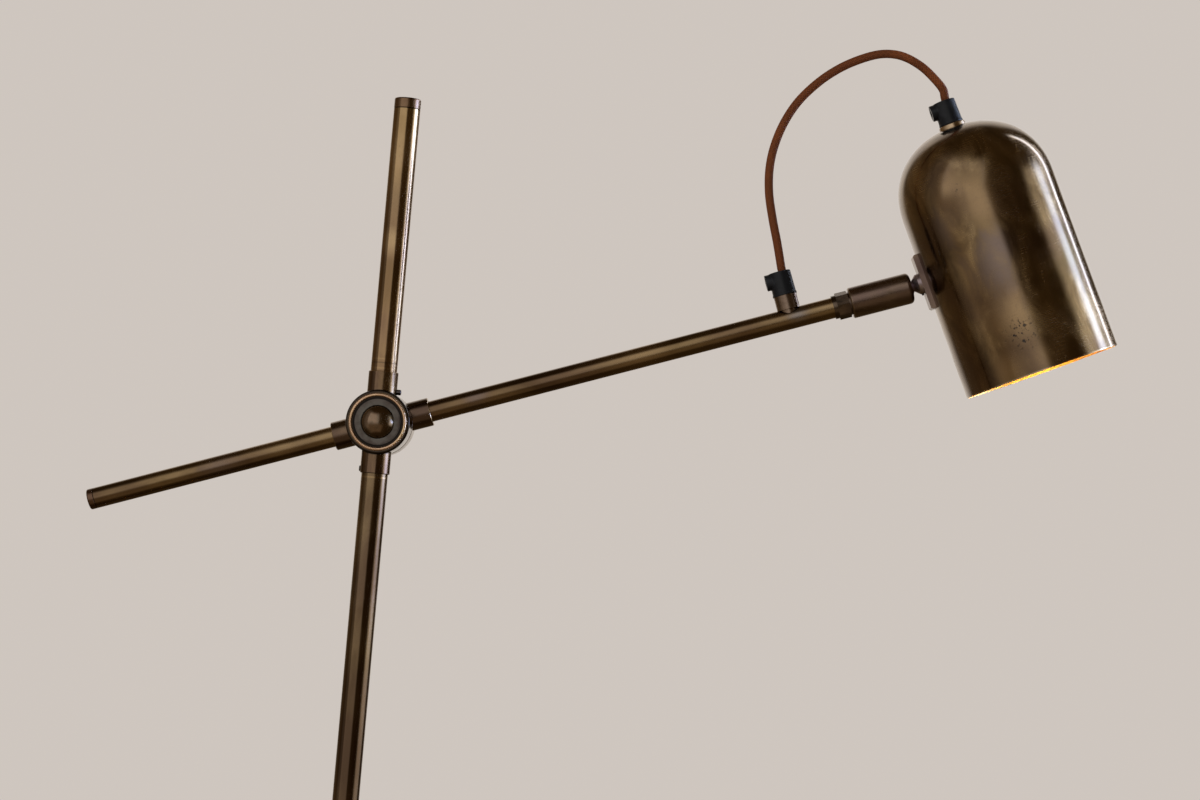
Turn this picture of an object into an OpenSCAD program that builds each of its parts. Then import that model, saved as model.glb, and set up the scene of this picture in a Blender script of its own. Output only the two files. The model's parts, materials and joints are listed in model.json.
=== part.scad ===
// Bridge floor lamp: a weighted round base, a slim post, a friction swivel with two
// stacked drums, a tilting boom, and a bullet shade carried on a ball knuckle.
// Millimetres, +Z up. The origin is the centre of the base's underside.
// The boom and the shade are drawn in frames of their own, on_boom() and on_shade().

/* [Base] */
// Diameter of the round base
base_d = 280; // [240:5:320]
// Height of the base's cover above the floor
base_h = 24; // [20:1:30]
// Wall of the base's cover
cover_wall = 1.5; // [1:0.1:2]
// Radius of the cover's upper edge
cover_edge_r = 6; // [4:0.5:8]
// Thickness of the felt pad under the base
pad_t = 2; // [1.5:0.5:3]
// Diameter of the turned foot that holds the post
foot_d = 58; // [50:1:70]
// Height of the turned foot
foot_h = 24; // [20:1:30]
// Depth of the foot's socket for the post
foot_socket = 16; // [12:1:18]
// Height of the lead inlet above the floor
inlet_z = 9; // [8:0.5:11]
// Bore of the lead inlet
inlet_bore = 6.2; // [5:0.1:7]

/* [Post] */
// Height of the swivel's centre above the floor
joint_z = 1200; // [1050:5:1350]
// Outer diameter of the post
post_d = 19; // [18:0.25:20]
// Wall of the post tubes
post_wall = 1.2; // [1:0.1:1.5]
// Post above the swivel's centre, with its cap
post_above = 233; // [150:1:300]
// Height of the ring between the lower and the middle tube
split_z = 620; // [500:5:750]
// Diameter of that ring
ring_d = 22; // [21.5:0.25:24]
// Length of that ring
ring_len = 6; // [5:0.5:10]
// Length that a plug or sleeve goes into a post tube
plug_len = 28; // [20:1:40]
// Length of the cap at the post's top
post_cap_len = 7.5; // [6:0.5:12]
// Diameter of the hollow threaded rod through the base
rod_d = 10; // [9:0.5:11]
// Bore for the wires through rods and bolts
wire_bore = 7; // [6.5:0.1:7.2]

/* [Swivel] */
// Diameter of both drums
drum_d = 45.6; // [42:0.1:50]
// Front face of the post's drum, ahead of the post's axis
drum_front = 12.5; // [12:0.25:15]
// Radius of the drums' outer edges
drum_edge_r = 1.5; // [1:0.25:2]
// Diameter of the sockets on the post's drum
post_collar_d = 21.3; // [21:0.1:22.5]
// Length of those sockets from the swivel's centre
post_collar_len = 36.5; // [32:0.5:45]
// Diameter of the sockets on the boom's drum
boom_collar_d = 20.6; // [19:0.1:22]
// Length of those sockets from the swivel's centre
boom_collar_len = 36; // [32:0.5:45]
// Stock between a socket and its drum's flat face
hub_skin = 0.15; // [0.1:0.05:0.5]
// Depth at which a tube stops, from the swivel's centre
tube_stop = 16; // [15:0.5:20]
// Thickness of the friction washer between the drums
friction_t = 0.5; // [0.4:0.1:1]
// Diameter of the clutch bolt
clutch_d = 12; // [11:0.5:13]
// Outer diameter of the bead ring on the drum's face
bead_d = 41; // [39:0.5:41.5]
// Width of the bead ring
bead_w = 2.4; // [1.6:0.1:3]
// Diameter of the grey plate inside the bead ring
plate_d = 35.3; // [32:0.1:35.8]
// Diameter of the dome button
button_d = 24; // [20:0.5:28]
// Height of the dome button
button_h = 6.5; // [4:0.5:9]
// Thickness of the plate that closes the boom's drum
back_cap_t = 2; // [1.5:0.25:3]

/* [Boom] */
// Outer diameter of the boom
boom_d = 15; // [13.5:0.25:15.5]
// Wall of the boom tubes
boom_wall = 1; // [0.8:0.1:1.2]
// Angle of the boom above level
boom_rise = 19.25; // [5:0.25:30]
// Boom behind the swivel's centre, with its cap
boom_back = 218.7; // [120:0.1:260]
// Length of the cap at the boom's end
boom_cap_len = 4.7; // [4:0.1:8]
// Swivel's centre to the cord outlet
outlet_x = 303.6; // [250:0.1:310]
// Height of the cord outlet's spigot above the boom's axis
outlet_h = 17.3; // [15:0.1:20]
// Diameter of the cord outlet's spigot
outlet_d = 16.6; // [14:0.1:18]
// Diameter of the neck that seats the cord outlet on the boom
outlet_neck_d = 13; // [11:0.5:14]

/* [Knuckle] */
// Swivel's centre to the ball's centre
ball_x = 387; // [370:0.5:430]
// Diameter of the ball
ball_d = 16; // [15.5:0.25:16.5]
// Diameter of the barrel
barrel_d = 22.4; // [21:0.1:23]
// Length of the barrel
barrel_len = 45.2; // [42:0.1:50]
// Barrel's front face ahead of the ball's centre
lip_len = 5.8; // [5.5:0.1:6]
// Radius of the barrel's front edge
barrel_edge_r = 3; // [2:0.25:3]
// Size of the friction nut across its flats
nut_af = 18; // [17:0.25:19]
// Length of the friction nut that shows
nut_len = 11.6; // [9:0.1:14]
// Ball's centre to the pivot plate
stud_len = 13.3; // [12.8:0.1:16]
// Angle of the shade's stud above level
shade_tilt = 24.4; // [10:0.1:35]

/* [Shade] */
// Diameter of the shade
shade_d = 113; // [105:1:125]
// Length of the shade's straight wall
shade_wall_len = 133.5; // [120:0.5:150]
// Height of the shade's dome
dome_h = 54; // [45:1:60]
// Fullness of the dome: 2 is an ellipse, higher is fuller
dome_power = 2.2; // [2:0.05:2.6]
// Wall of the shade
shade_wall = 0.8; // [0.7:0.1:1.2]
// Rim to the stud, along the shade
stud_z = 89; // [75:1:100]
// Width of the pivot plate
pivot_w = 16; // [13:0.5:20]
// Length of the pivot plate
pivot_len = 41; // [34:1:50]
// Thickness of the pivot plate
pivot_t = 3.2; // [2.6:0.1:4]
// Diameter of the crown ring under the upper cord grip
crown_d = 19; // [17.5:0.5:21]
// Thickness of the crown ring
crown_t = 3; // [2:0.5:5]

/* [Cord grips] */
// Diameter of a grip at its foot
grip_d = 17.6; // [15.5:0.1:18]
// Height of a grip
grip_h = 17.5; // [15:0.5:22]
// Reach of a grip's screw boss from the grip's axis
boss_reach = 11.2; // [10.5:0.1:14]
// Diameter of a grip's screw boss
boss_d = 11.6; // [8:0.1:12]

/* [Lamp holder] */
// Diameter of the lamp holder
holder_d = 39; // [36:0.5:42]
// Height of the lamp holder's cap
holder_cap_h = 16; // [14:1:20]
// Height of the lamp holder's body
holder_h = 36; // [32:1:38]
// Diameter of the lamp's screw cap
lamp_cap_d = 26; // [25:0.5:26.5]
// Diameter of the lamp's glass
lamp_d = 60; // [50:1:65]
// Length of the lamp's glass
lamp_len = 82; // [75:1:90]

/* [Fits] */
// Radial clearance of a shaft, sleeve or plug in its bore
fit = 0.05; // [0.03:0.01:0.08]
// Radial clearance of the ball in its seats
ball_fit = 0.12; // [0.1:0.01:0.15]

/* [Cord] */
// Diameter of the cord
cord_d = 6; // [5:0.25:6]

/* [Hidden] */
$fn = 72;
aged_brass = [0.36, 0.29, 0.19];
dark_brass = [0.22, 0.17, 0.12];
bead_gold = [0.72, 0.56, 0.36];
satin_grey = [0.32, 0.31, 0.29];
steel_grey = [0.62, 0.62, 0.62];
black_plastic = [0.06, 0.06, 0.06];
cast_grey = [0.25, 0.25, 0.26];
felt_black = [0.1, 0.1, 0.1];
porcelain = [0.9, 0.88, 0.83];
lamp_glass = [1, 0.86, 0.6];
cord_rust = [0.4, 0.16, 0.08];

post_id = post_d - 2 * post_wall;
boom_id = boom_d - 2 * boom_wall;
barrel_wall = 2;

// Base, from the floor up
weight_gap = 0.5;
weight_top = base_h - cover_wall;
weight_d = base_d - 2 * cover_wall - 2 * weight_gap;
base_nut_h = 6;
base_nut_af = 17;
base_washer_t = 2;
base_washer_d = 30;
base_pocket_d = 36;
base_pocket_z = pad_t + base_nut_h + base_washer_t + 2;
base_nut_z = base_pocket_z - base_washer_t - base_nut_h;
base_lift = 0.5;
pad_d = weight_d - 6;
inlet_d = inlet_bore + 3;
inlet_flange_d = inlet_bore + 6;
inlet_flange_t = 2;
inlet_tail = 4;
channel_w = inlet_d + 0.8;
foot_flange_t = 3;
foot_step = 2.5;
foot_neck_r = post_d / 2 + fit + foot_step;
foot_cove_z = 2 * foot_step;
foot_cove_r = foot_d / 2 - foot_cove_z - foot_neck_r;
foot_top = base_h + foot_h;
foot_floor = foot_top - foot_socket;
rod_top = foot_floor + foot_socket - 1;

// Tubes of the post
lower_top = split_z - ring_len / 2;
middle_bottom = split_z + ring_len / 2;
middle_top = joint_z - tube_stop;
upper_bottom = joint_z + tube_stop;
upper_top = joint_z + post_above - post_cap_len;
coupler_bore = wire_bore + 4;
post_cap_plug = 10;

// Swivel, along Y
post_drum_back = post_collar_d / 2 + hub_skin;
boom_drum_front = post_drum_back + friction_t;
boom_y = boom_drum_front + hub_skin + boom_collar_d / 2;
boom_drum_back = boom_y + boom_collar_d / 2 + hub_skin;
bolt_head_t = 4;
bolt_head_af = 17;
face_pocket = 3.5;
head_pocket_d = 21;
bolt_head_y = -drum_front + face_pocket + 0.5;
bolt_seat_y = bolt_head_y + bolt_head_t;
web_t = 3;
wire_room_d = 26;
rear_web_t = 2;
pocket_web_y = boom_y + wire_bore / 2 + 0.2;
spring_t = 1.2;
clutch_nut_af = 17;
spring_y = pocket_web_y + rear_web_t;
clutch_nut_y = spring_y + spring_t;
bolt_end_y = boom_drum_back - 0.25;
clutch_nut_t = bolt_end_y - clutch_nut_y;
nut_room_d = 26;
clutch_spring_d = nut_room_d - 3;
set_screw_d = 4;
set_screw_out = 1.6;
post_screw_high_out = 3;
post_screw_low_out = 0.8;
socket_bevel = 0.4;
post_screw_high_z = drum_rise(post_collar_d / 2) + set_screw_d / 2 + 0.4;
post_screw_low_z = post_collar_len - set_screw_d / 2 - 1;
post_screws = [
    [0, post_screw_high_z, post_screw_high_out],
    [180, post_screw_low_z, post_screw_low_out]
];
boom_screw_x = (boom_collar_len + drum_d / 2) / 2;
bead_foot = 0.6;
bead_seat = 0.4;
plate_t = 1.5;
plate_out = 0.8;
plate_step = 2;
button_spigot_d = button_d / 2;
button_spigot_len = 3;
cap_edge_r = 1.2;
cap_seam = 0.4;
back_rim = 1.5;

// Knuckle, along the boom
barrel_front = ball_x + lip_len;
barrel_back = barrel_front - barrel_len;
barrel_bore = barrel_d - 2 * barrel_wall;
barrel_bevel = 0.8;
groove_len = 1.2;
groove_d = 16.5;
nut_spigot_len = 10;
nut_collar_len = 3;
boom_cap_plug = 8;
outlet_seat = boom_d / 2 - 0.5;
boom_end = barrel_back + nut_spigot_len - 2;
seat_depth = 9;
seat_gap = 0.25;
seat_bore_r = 4;
mouth_r = 6.95;
flare_r = 9;
neck_r = 3.9;
neck_start = 7;
stud_collar_r = 7.4;
stud_collar_x = stud_len - 2.6;
lock_screw_d = 1.8;
lock_screw_x = stud_len - 1.3;
lock_screw_in = 4;
lock_screw_out = 1.2;
stud_tail = 2;
plate_edge = 1.2;
m6_d = 6;
stud_nut_t = 5;
stud_nut_af = 10;

// Shade, in its own frame: Z runs from the rim to the crown
shade_r = shade_d / 2;
shade_x = stud_len + pivot_t + shade_r;
crown_flat_r = crown_d / 2 + 0.5;
crown_z = shade_wall_len + dome_rise(crown_flat_r, shade_r, dome_h);
crown_inner_z = crown_z - shade_wall;
grip_z = crown_z + crown_t;
lock_washer_t = 1.5;
lock_washer_d = 18;
lock_nut_t = 4;
lock_nut_af = 14;
nipple_d = 9.6;
nipple_grip = 8;
lock_nut_z = crown_inner_z - lock_washer_t - lock_nut_t;
holder_top = lock_nut_z - 0.5;
holder_body_z = holder_top - holder_cap_h - holder_h;
holder_wall = 2;
holder_skirt = 4;
holder_bore = lamp_cap_d + 1.2;
nipple_bottom = holder_top - 7;
core_t = 5;
core_z = holder_body_z + holder_h - core_t - 1;
lamp_cap_len = 22;
lamp_cap_wall = 0.5;
lamp_tip_t = 2;
lamp_tip_d = 9;
lamp_cap_z = core_z - lamp_tip_t - lamp_cap_len;
glass_wall = 1;
glass_neck_r = lamp_cap_d / 2 - 1;
glass_neck_len = 14;
glass_shoulder = 28;
glass_top = lamp_cap_z + 3;
lamp_tip_z = lamp_cap_z - lamp_len;
lamp_r = lamp_d / 2;

// Cord grips
grip_top_d = grip_d - 1.2;
boss_edge_r = 1.5;
boss_z = grip_h - boss_d / 2 - 0.1;
lower_cord_off = 2.4;
upper_cord_off = 2;
cord_room = 0.2;
grip_screw_d = 4;
grip_screw_sink = 0.8;
grip_bore_h = nipple_grip + 0.5;

// Cord: the route's own points in the boom's frame, as [along, above]
cord_sides = 10;
cord_foot_z = grip_bore_h;
cord_out_z = grip_h + 1;
cord_loop_points = [
    [306.3, 40], [307.7, 55], [309, 74], [311.2, 92], [316, 109], [323.5, 124],
    [334.5, 138.5], [348.5, 151], [365.5, 160.5], [381.5, 166.2], [397, 169], [412, 169.4],
    [423.3, 166.7], [432.3, 161.4], [440.8, 152.6], [446.8, 142.9], [451.1, 133.2]
];
grip_away = shade_tilt - boom_rise;

function drum_rise(x) = sqrt(pow(drum_d / 2, 2) - pow(x, 2));
function dome_rise(r, rim_r, h) = h * pow(1 - pow(r / rim_r, dome_power), 1 / dome_power);
function turn(v, a) = [v[0] * cos(a) - v[1] * sin(a), v[0] * sin(a) + v[1] * cos(a)];
function shade_point(x, z) = [ball_x, 0] + turn([shade_x + x, z - stud_z], grip_away);

// Places what follows in the boom's frame: X along the boom, Z square to it
module on_boom() {
    translate([0, boom_y, joint_z]) rotate([0, -boom_rise, 0]) children();
}

// Places what follows in the shade's frame: Z along the shade, X away from the stud
module on_shade() {
    on_boom()
        translate([ball_x, 0, 0])
            rotate([0, -grip_away, 0])
                translate([shade_x, 0, -stud_z]) children();
}

// A cylinder along X from x0 to x1
module rod_x(d, x0, x1) {
    translate([x0, 0, 0]) rotate([0, 90, 0]) cylinder(d = d, h = x1 - x0);
}

// A cylinder along Y from y0 to y1
module rod_y(d, y0, y1) {
    translate([0, y0, 0]) rotate([-90, 0, 0]) cylinder(d = d, h = y1 - y0);
}

// A cylinder along Z from z0 to z1
module rod_z(d, z0, z1) {
    translate([0, 0, z0]) cylinder(d = d, h = z1 - z0);
}

// A tube along Z from z0 to z1
module tube_z(d, bore, z0, z1) {
    difference() {
        rod_z(d, z0, z1);
        rod_z(bore, z0 - 1, z1 + 1);
    }
}

// A rod along Z from z0 to z1 with both edges bevelled
module bevelled_rod(d, z0, z1, bevel) {
    rotate_extrude() polygon([
        [0, z0], [d / 2 - bevel, z0], [d / 2, z0 + bevel], [d / 2, z1 - bevel],
        [d / 2 - bevel, z1], [0, z1]
    ]);
}

// A hexagonal nut along Z with a plain bore
module hex_nut(af, bore, h) {
    difference() {
        cylinder(d = af / cos(30), h = h, $fn = 6);
        translate([0, 0, -1]) cylinder(d = bore, h = h + 2);
    }
}

// Half the section of a rod whose top edge is rounded
module capped_profile(d, h, edge_r) {
    square([d / 2 - edge_r, h]);
    square([d / 2, h - edge_r]);
    intersection() {
        translate([d / 2 - edge_r, h - edge_r]) circle(edge_r);
        square([d, h * 2]);
    }
}

// What a bevel takes off the foot of half a section
module foot_bevel(d, bevel) {
    polygon([[d / 2 - bevel, 0], [d / 2 + bevel, 0], [d / 2 + bevel, 2 * bevel]]);
}

// A rod along Z whose top edge is rounded
module capped_rod(d, h, edge_r) {
    rotate_extrude() capped_profile(d, h, edge_r);
}

// A tube's end cap: a rounded head over a fine groove, and the plug in the tube
module end_cap(d, bore, head_len, plug) {
    rotate_extrude() difference() {
        capped_profile(d, head_len, cap_edge_r);
        foot_bevel(d, cap_seam);
    }
    rod_z(bore - 2 * fit, -plug, 0.01);
}

// The sweep of a round cord along points in the XZ plane
module swept_cord(points, d, sides) {
    n = len(points);
    angles = [
        for (i = [0:n - 1])
            let (a = points[max(i - 1, 0)], b = points[min(i + 1, n - 1)])
                atan2(b[1] - a[1], b[0] - a[0])
    ];
    rings = [
        for (i = [0:n - 1], k = [0:sides - 1])
            let (t = 360 * k / sides, s = d / 2 * cos(t))
                [points[i][0] - s * sin(angles[i]), d / 2 * sin(t),
                 points[i][1] + s * cos(angles[i])]
    ];
    walls = [
        for (i = [0:n - 2], k = [0:sides - 1])
            let (p = i * sides + k, q = i * sides + (k + 1) % sides)
                each [[p, p + sides, q + sides], [p, q + sides, q]]
    ];
    ends = [
        [for (k = [0:sides - 1]) k],
        [for (k = [sides - 1:-1:0]) (n - 1) * sides + k]
    ];
    polyhedron(rings, concat(walls, ends));
}

// ---- Base ----

module base_pad() {
    color(felt_black) rod_z(pad_d, 0, pad_t);
}

module base_weight() {
    color(cast_grey) difference() {
        translate([0, 0, pad_t]) capped_rod(weight_d, weight_top - pad_t, cover_edge_r);
        rod_z(base_pocket_d, 0, base_pocket_z);
        rod_z(rod_d + 2 * fit, 0, base_h);
        translate([-channel_w / 2, 0, 0])
            cube([channel_w, base_d, inlet_z + channel_w / 2]);
    }
}

module base_cover() {
    color(aged_brass) difference() {
        translate([0, 0, base_lift]) capped_rod(base_d, base_h - base_lift, cover_edge_r);
        capped_rod(weight_d + 2 * weight_gap, weight_top, cover_edge_r - weight_gap);
        rod_z(rod_d + 2 * fit, 0, base_h + 1);
        translate([0, 0, inlet_z])
            rod_y(inlet_d + 2 * fit, base_d / 2 - 4 * cover_wall, base_d);
    }
}

module lead_inlet() {
    inner_y = base_d / 2 - cover_wall - weight_gap;
    color(black_plastic) translate([0, 0, inlet_z]) difference() {
        union() {
            rod_y(inlet_d, inner_y - inlet_tail, base_d / 2 + inlet_flange_t);
            rod_y(inlet_flange_d, base_d / 2, base_d / 2 + inlet_flange_t);
        }
        rod_y(inlet_bore, inner_y - inlet_tail - 1, base_d / 2 + inlet_flange_t + 1);
    }
}

module base_nut() {
    color(steel_grey) translate([0, 0, base_nut_z]) hex_nut(base_nut_af, rod_d + 2 * fit, base_nut_h);
}

module base_washer() {
    color(steel_grey)
        tube_z(base_washer_d, rod_d + 2 * fit, base_nut_z + base_nut_h, base_pocket_z);
}

module threaded_rod() {
    color(steel_grey) tube_z(rod_d, wire_bore, base_nut_z - 1, rod_top);
}

// ---- Post ----

module post_foot() {
    color(aged_brass) translate([0, 0, base_h]) difference() {
        rotate_extrude() union() {
            square([foot_d / 2, foot_flange_t]);
            square([foot_d / 2 - foot_step, foot_cove_z]);
            difference() {
                square([foot_neck_r + foot_cove_r, foot_cove_z + foot_cove_r]);
                translate([foot_neck_r + foot_cove_r, foot_cove_z + foot_cove_r])
                    circle(foot_cove_r);
            }
            square([foot_neck_r, foot_h]);
        }
        translate([0, 0, foot_h - foot_socket]) cylinder(d = post_d + 2 * fit, h = foot_h);
        rod_z(rod_d + 2 * fit, -1, foot_h);
    }
}

module post_bush() {
    color(steel_grey) tube_z(post_id - 2 * fit, rod_d + 2 * fit, foot_floor, foot_floor + foot_socket);
}

module lower_tube() {
    color(aged_brass) tube_z(post_d, post_id, foot_floor, lower_top);
}

module tube_coupler() {
    color(aged_brass) difference() {
        union() {
            rod_z(post_id - 2 * fit, lower_top - plug_len, middle_bottom + plug_len);
            bevelled_rod(ring_d, lower_top, middle_bottom, socket_bevel);
        }
        rod_z(coupler_bore, lower_top - plug_len - 1, middle_bottom + plug_len + 1);
    }
}

module middle_tube() {
    color(aged_brass) tube_z(post_d, post_id, middle_bottom, middle_top);
}

module upper_tube() {
    color(aged_brass) tube_z(post_d, post_id, upper_bottom, upper_top);
}

module post_cap() {
    color(aged_brass) translate([0, 0, upper_top])
        end_cap(post_d, post_id, post_cap_len, post_cap_plug);
}

// ---- Swivel ----

// A drum about Y from y0 to y1, with both outer edges rounded
module drum(y0, y1) {
    t = y1 - y0;
    translate([0, y0, 0]) rotate([-90, 0, 0]) rotate_extrude() {
        square([drum_d / 2 - drum_edge_r, t]);
        translate([0, drum_edge_r]) square([drum_d / 2, t - 2 * drum_edge_r]);
        translate([drum_d / 2 - drum_edge_r, drum_edge_r]) circle(drum_edge_r);
        translate([drum_d / 2 - drum_edge_r, t - drum_edge_r]) circle(drum_edge_r);
    }
}

// The bore of a socket at both ends of a drum, with the wire hole between
module socket_bores(tube_d, collar_len) {
    for (side = [0, 180])
        rotate([0, side, 0]) {
            rod_z(tube_d + 2 * fit, tube_stop, collar_len + 1);
            rod_z(wire_bore + 2, 0, tube_stop + 1);
        }
}

module post_drum() {
    color(dark_brass) translate([0, 0, joint_z]) difference() {
        union() {
            drum(-drum_front, post_drum_back);
            bevelled_rod(post_collar_d, -post_collar_len, post_collar_len, socket_bevel);
        }
        socket_bores(post_d, post_collar_len);
        rod_y(bead_d - 2 * bead_w, -drum_front - 1, -drum_front + face_pocket);
        rod_y(head_pocket_d, -drum_front, bolt_seat_y);
        rod_y(clutch_d + 2 * fit, bolt_seat_y - 1, post_drum_back + 1);
        for (s = post_screws)
            rotate([0, s[0], 0])
                translate([0, 0, s[1]]) rod_x(set_screw_d + 2 * fit, 0, post_collar_d);
    }
}

// One set screw in the right side of the upper socket, one in the left of the lower
module post_set_screws() {
    color(dark_brass) translate([0, 0, joint_z])
        for (s = post_screws)
            rotate([0, s[0], 0])
                translate([0, 0, s[1]])
                    rod_x(set_screw_d, post_d / 2, post_collar_d / 2 + s[2]);
}

module clutch_bolt() {
    window_w = wire_bore - 1;
    color(steel_grey) translate([0, 0, joint_z]) difference() {
        union() {
            translate([0, bolt_head_y, 0])
                rotate([-90, 0, 0]) cylinder(d = bolt_head_af / cos(30), h = bolt_head_t, $fn = 6);
            rod_y(clutch_d, bolt_head_y + 1, bolt_end_y);
        }
        rod_y(wire_bore, -wire_bore / 2, bolt_end_y + 1);
        translate([-window_w / 2, -wire_bore / 2, -clutch_d]) cube([window_w, wire_bore, clutch_d]);
        translate([0, boom_y - window_w / 2, -clutch_d / 2])
            cube([clutch_d, window_w, clutch_d]);
    }
}

module clutch_spring() {
    color(steel_grey) translate([0, 0, joint_z]) difference() {
        rod_y(clutch_spring_d, spring_y, spring_y + spring_t);
        rod_y(clutch_d + 2 * fit, spring_y - 1, spring_y + spring_t + 1);
    }
}

module clutch_nut() {
    color(steel_grey) translate([0, clutch_nut_y, joint_z])
        rotate([-90, 0, 0]) hex_nut(clutch_nut_af, clutch_d + 2 * fit, clutch_nut_t);
}

module bead_ring() {
    r = bead_d / 2 - bead_w / 2;
    color(bead_gold) translate([0, -drum_front, joint_z]) rotate([-90, 0, 0])
        rotate_extrude() {
            translate([r, 0]) intersection() {
                circle(bead_w / 2);
                translate([-bead_w, -bead_w]) square([2 * bead_w, bead_w]);
            }
            translate([r - bead_w / 2 - bead_foot, -bead_seat])
                square([bead_w / 2 + bead_foot, bead_seat]);
        }
}

module face_plate() {
    color(satin_grey) translate([0, 0, joint_z]) difference() {
        union() {
            rod_y(plate_d, -drum_front, -drum_front + plate_t);
            rod_y(plate_d - 2 * plate_step, -drum_front - plate_out, -drum_front + 1);
        }
        rod_y(button_spigot_d, -drum_front - 2, -drum_front + 2);
    }
}

module dome_button() {
    sphere_r = (pow(button_d / 2, 2) + pow(button_h, 2)) / (2 * button_h);
    foot_y = -drum_front - plate_out;
    color(aged_brass) translate([0, foot_y, joint_z]) rotate([-90, 0, 0]) {
        rotate_extrude() intersection() {
            translate([0, sphere_r - button_h]) circle(sphere_r, $fn = 120);
            translate([0, -button_h]) square([button_d / 2, button_h]);
        }
        cylinder(d = button_spigot_d - 2 * fit, h = button_spigot_len);
    }
}

module friction_washer() {
    color(cast_grey) translate([0, 0, joint_z]) difference() {
        rod_y(drum_d - 6, post_drum_back, boom_drum_front);
        rod_y(clutch_d + 2 * fit, post_drum_back - 1, boom_drum_front + 1);
    }
}

module boom_drum() {
    color(dark_brass) on_boom() difference() {
        union() {
            drum(boom_drum_front - boom_y, boom_drum_back - boom_y);
            rotate([0, 90, 0])
                bevelled_rod(boom_collar_d, -boom_collar_len, boom_collar_len, socket_bevel);
        }
        rotate([0, 90, 0]) socket_bores(boom_d, boom_collar_len);
        rod_y(clutch_d + 2 * fit, boom_drum_front - boom_y - 1, boom_drum_back);
        rod_y(wire_room_d, boom_drum_front - boom_y + web_t, pocket_web_y - boom_y);
        rod_y(nut_room_d, spring_y - boom_y, boom_drum_back);
        for (side = [-1, 1])
            translate([side * boom_screw_x, 0, 0]) rod_y(set_screw_d + 2 * fit, 0, boom_collar_d);
    }
}

// One set screw in the rear of each of the boom's sockets
module boom_set_screws() {
    color(dark_brass) on_boom()
        for (side = [-1, 1])
            translate([side * boom_screw_x, 0, 0])
                rod_y(set_screw_d, boom_d / 2, boom_collar_d / 2 + set_screw_out);
}

module drum_back_cap() {
    y0 = boom_drum_back - boom_y;
    color(dark_brass) on_boom() {
        translate([0, y0, 0]) rotate([-90, 0, 0])
            capped_rod(drum_d - 4, back_cap_t, cap_edge_r);
        difference() {
            rod_y(nut_room_d - 2 * fit, y0 - back_rim, y0 + 0.01);
            rod_y(nut_room_d - 2 * back_rim, y0 - back_rim - 1, y0 + 0.02);
        }
    }
}

// ---- Boom ----

module rear_tube() {
    color(aged_brass) on_boom() rotate([0, -90, 0])
        tube_z(boom_d, boom_id, tube_stop, boom_back - boom_cap_len);
}

module boom_cap() {
    color(aged_brass) on_boom() rotate([0, -90, 0])
        translate([0, 0, boom_back - boom_cap_len]) end_cap(boom_d, boom_id, boom_cap_len, boom_cap_plug);
}

module front_tube() {
    color(aged_brass) on_boom() difference() {
        rotate([0, 90, 0]) tube_z(boom_d, boom_id, tube_stop, boom_end);
        translate([outlet_x, 0, 0]) rod_z(wire_bore, 0, boom_d);
    }
}

module cord_outlet() {
    color(aged_brass) on_boom() difference() {
        translate([outlet_x, 0, 0]) {
            rod_z(outlet_neck_d, 0, outlet_h);
            rod_z(outlet_d, outlet_seat, outlet_h);
            rod_z(nipple_d, outlet_h - 1, outlet_h + nipple_grip);
        }
        rod_x(boom_d + 2 * fit, outlet_x - outlet_d, outlet_x + outlet_d);
        translate([outlet_x, 0, 0]) rod_z(wire_bore, 0, outlet_h + nipple_grip + 1);
    }
}

// A black cord grip that stands on a threaded nipple, with a screw boss on its -X side
module cord_grip(cord_off) {
    color(black_plastic) difference() {
        union() {
            cylinder(d1 = grip_d, d2 = grip_top_d, h = grip_h);
            translate([0, 0, boss_z]) rotate([0, -90, 0])
                capped_rod(boss_d, boss_reach, boss_edge_r);
        }
        rod_z(nipple_d + 2 * fit, -1, grip_bore_h);
        translate([cord_off, 0, 0]) rod_z(cord_d + 2 * cord_room, nipple_grip, grip_h + 1);
        translate([0, 0, boss_z]) rod_x(grip_screw_d + 2 * fit, -boss_reach - 1, -grip_d / 4);
    }
}

module grip_screw() {
    color(steel_grey) translate([0, 0, boss_z])
        rod_x(grip_screw_d, -boss_reach + grip_screw_sink, -grip_d / 4);
}

module lower_grip() {
    on_boom() translate([outlet_x, 0, outlet_h]) cord_grip(lower_cord_off);
}

module lower_grip_screw() {
    on_boom() translate([outlet_x, 0, outlet_h]) grip_screw();
}

// ---- Knuckle ----

module friction_nut() {
    nut_back = barrel_back - groove_len - nut_len;
    bore = boom_d + 2 * fit;
    color(dark_brass) on_boom() difference() {
        union() {
            rod_x(nut_af - 1, nut_back, nut_back + nut_collar_len);
            translate([nut_back + nut_collar_len, 0, 0]) rotate([0, 90, 0])
                cylinder(d = nut_af / cos(22.5), h = nut_len - nut_collar_len, $fn = 8);
            rod_x(groove_d, barrel_back - groove_len - 1, barrel_back + nut_spigot_len);
        }
        rod_x(bore, nut_back - 1, boom_end + fit);
        rod_x(boom_id, nut_back, barrel_back + nut_spigot_len + 1);
    }
}

module knuckle_barrel() {
    ball = ball_x - barrel_back;
    color(dark_brass) on_boom() translate([barrel_back, 0, 0]) rotate([0, 90, 0])
        rotate_extrude() difference() {
            capped_profile(barrel_d, barrel_len, barrel_edge_r);
            foot_bevel(barrel_d, barrel_bevel);
            square([groove_d / 2 + fit, nut_spigot_len]);
            translate([0, nut_spigot_len]) square([barrel_bore / 2, ball - nut_spigot_len]);
            translate([0, ball]) circle(d = ball_d + 2 * ball_fit);
            square([mouth_r, barrel_len + 1]);
            polygon([
                [0, ball + lip_len / 2], [mouth_r, ball + lip_len / 2],
                [flare_r, barrel_len + 0.01], [0, barrel_len + 0.01]
            ]);
        }
}

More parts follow.
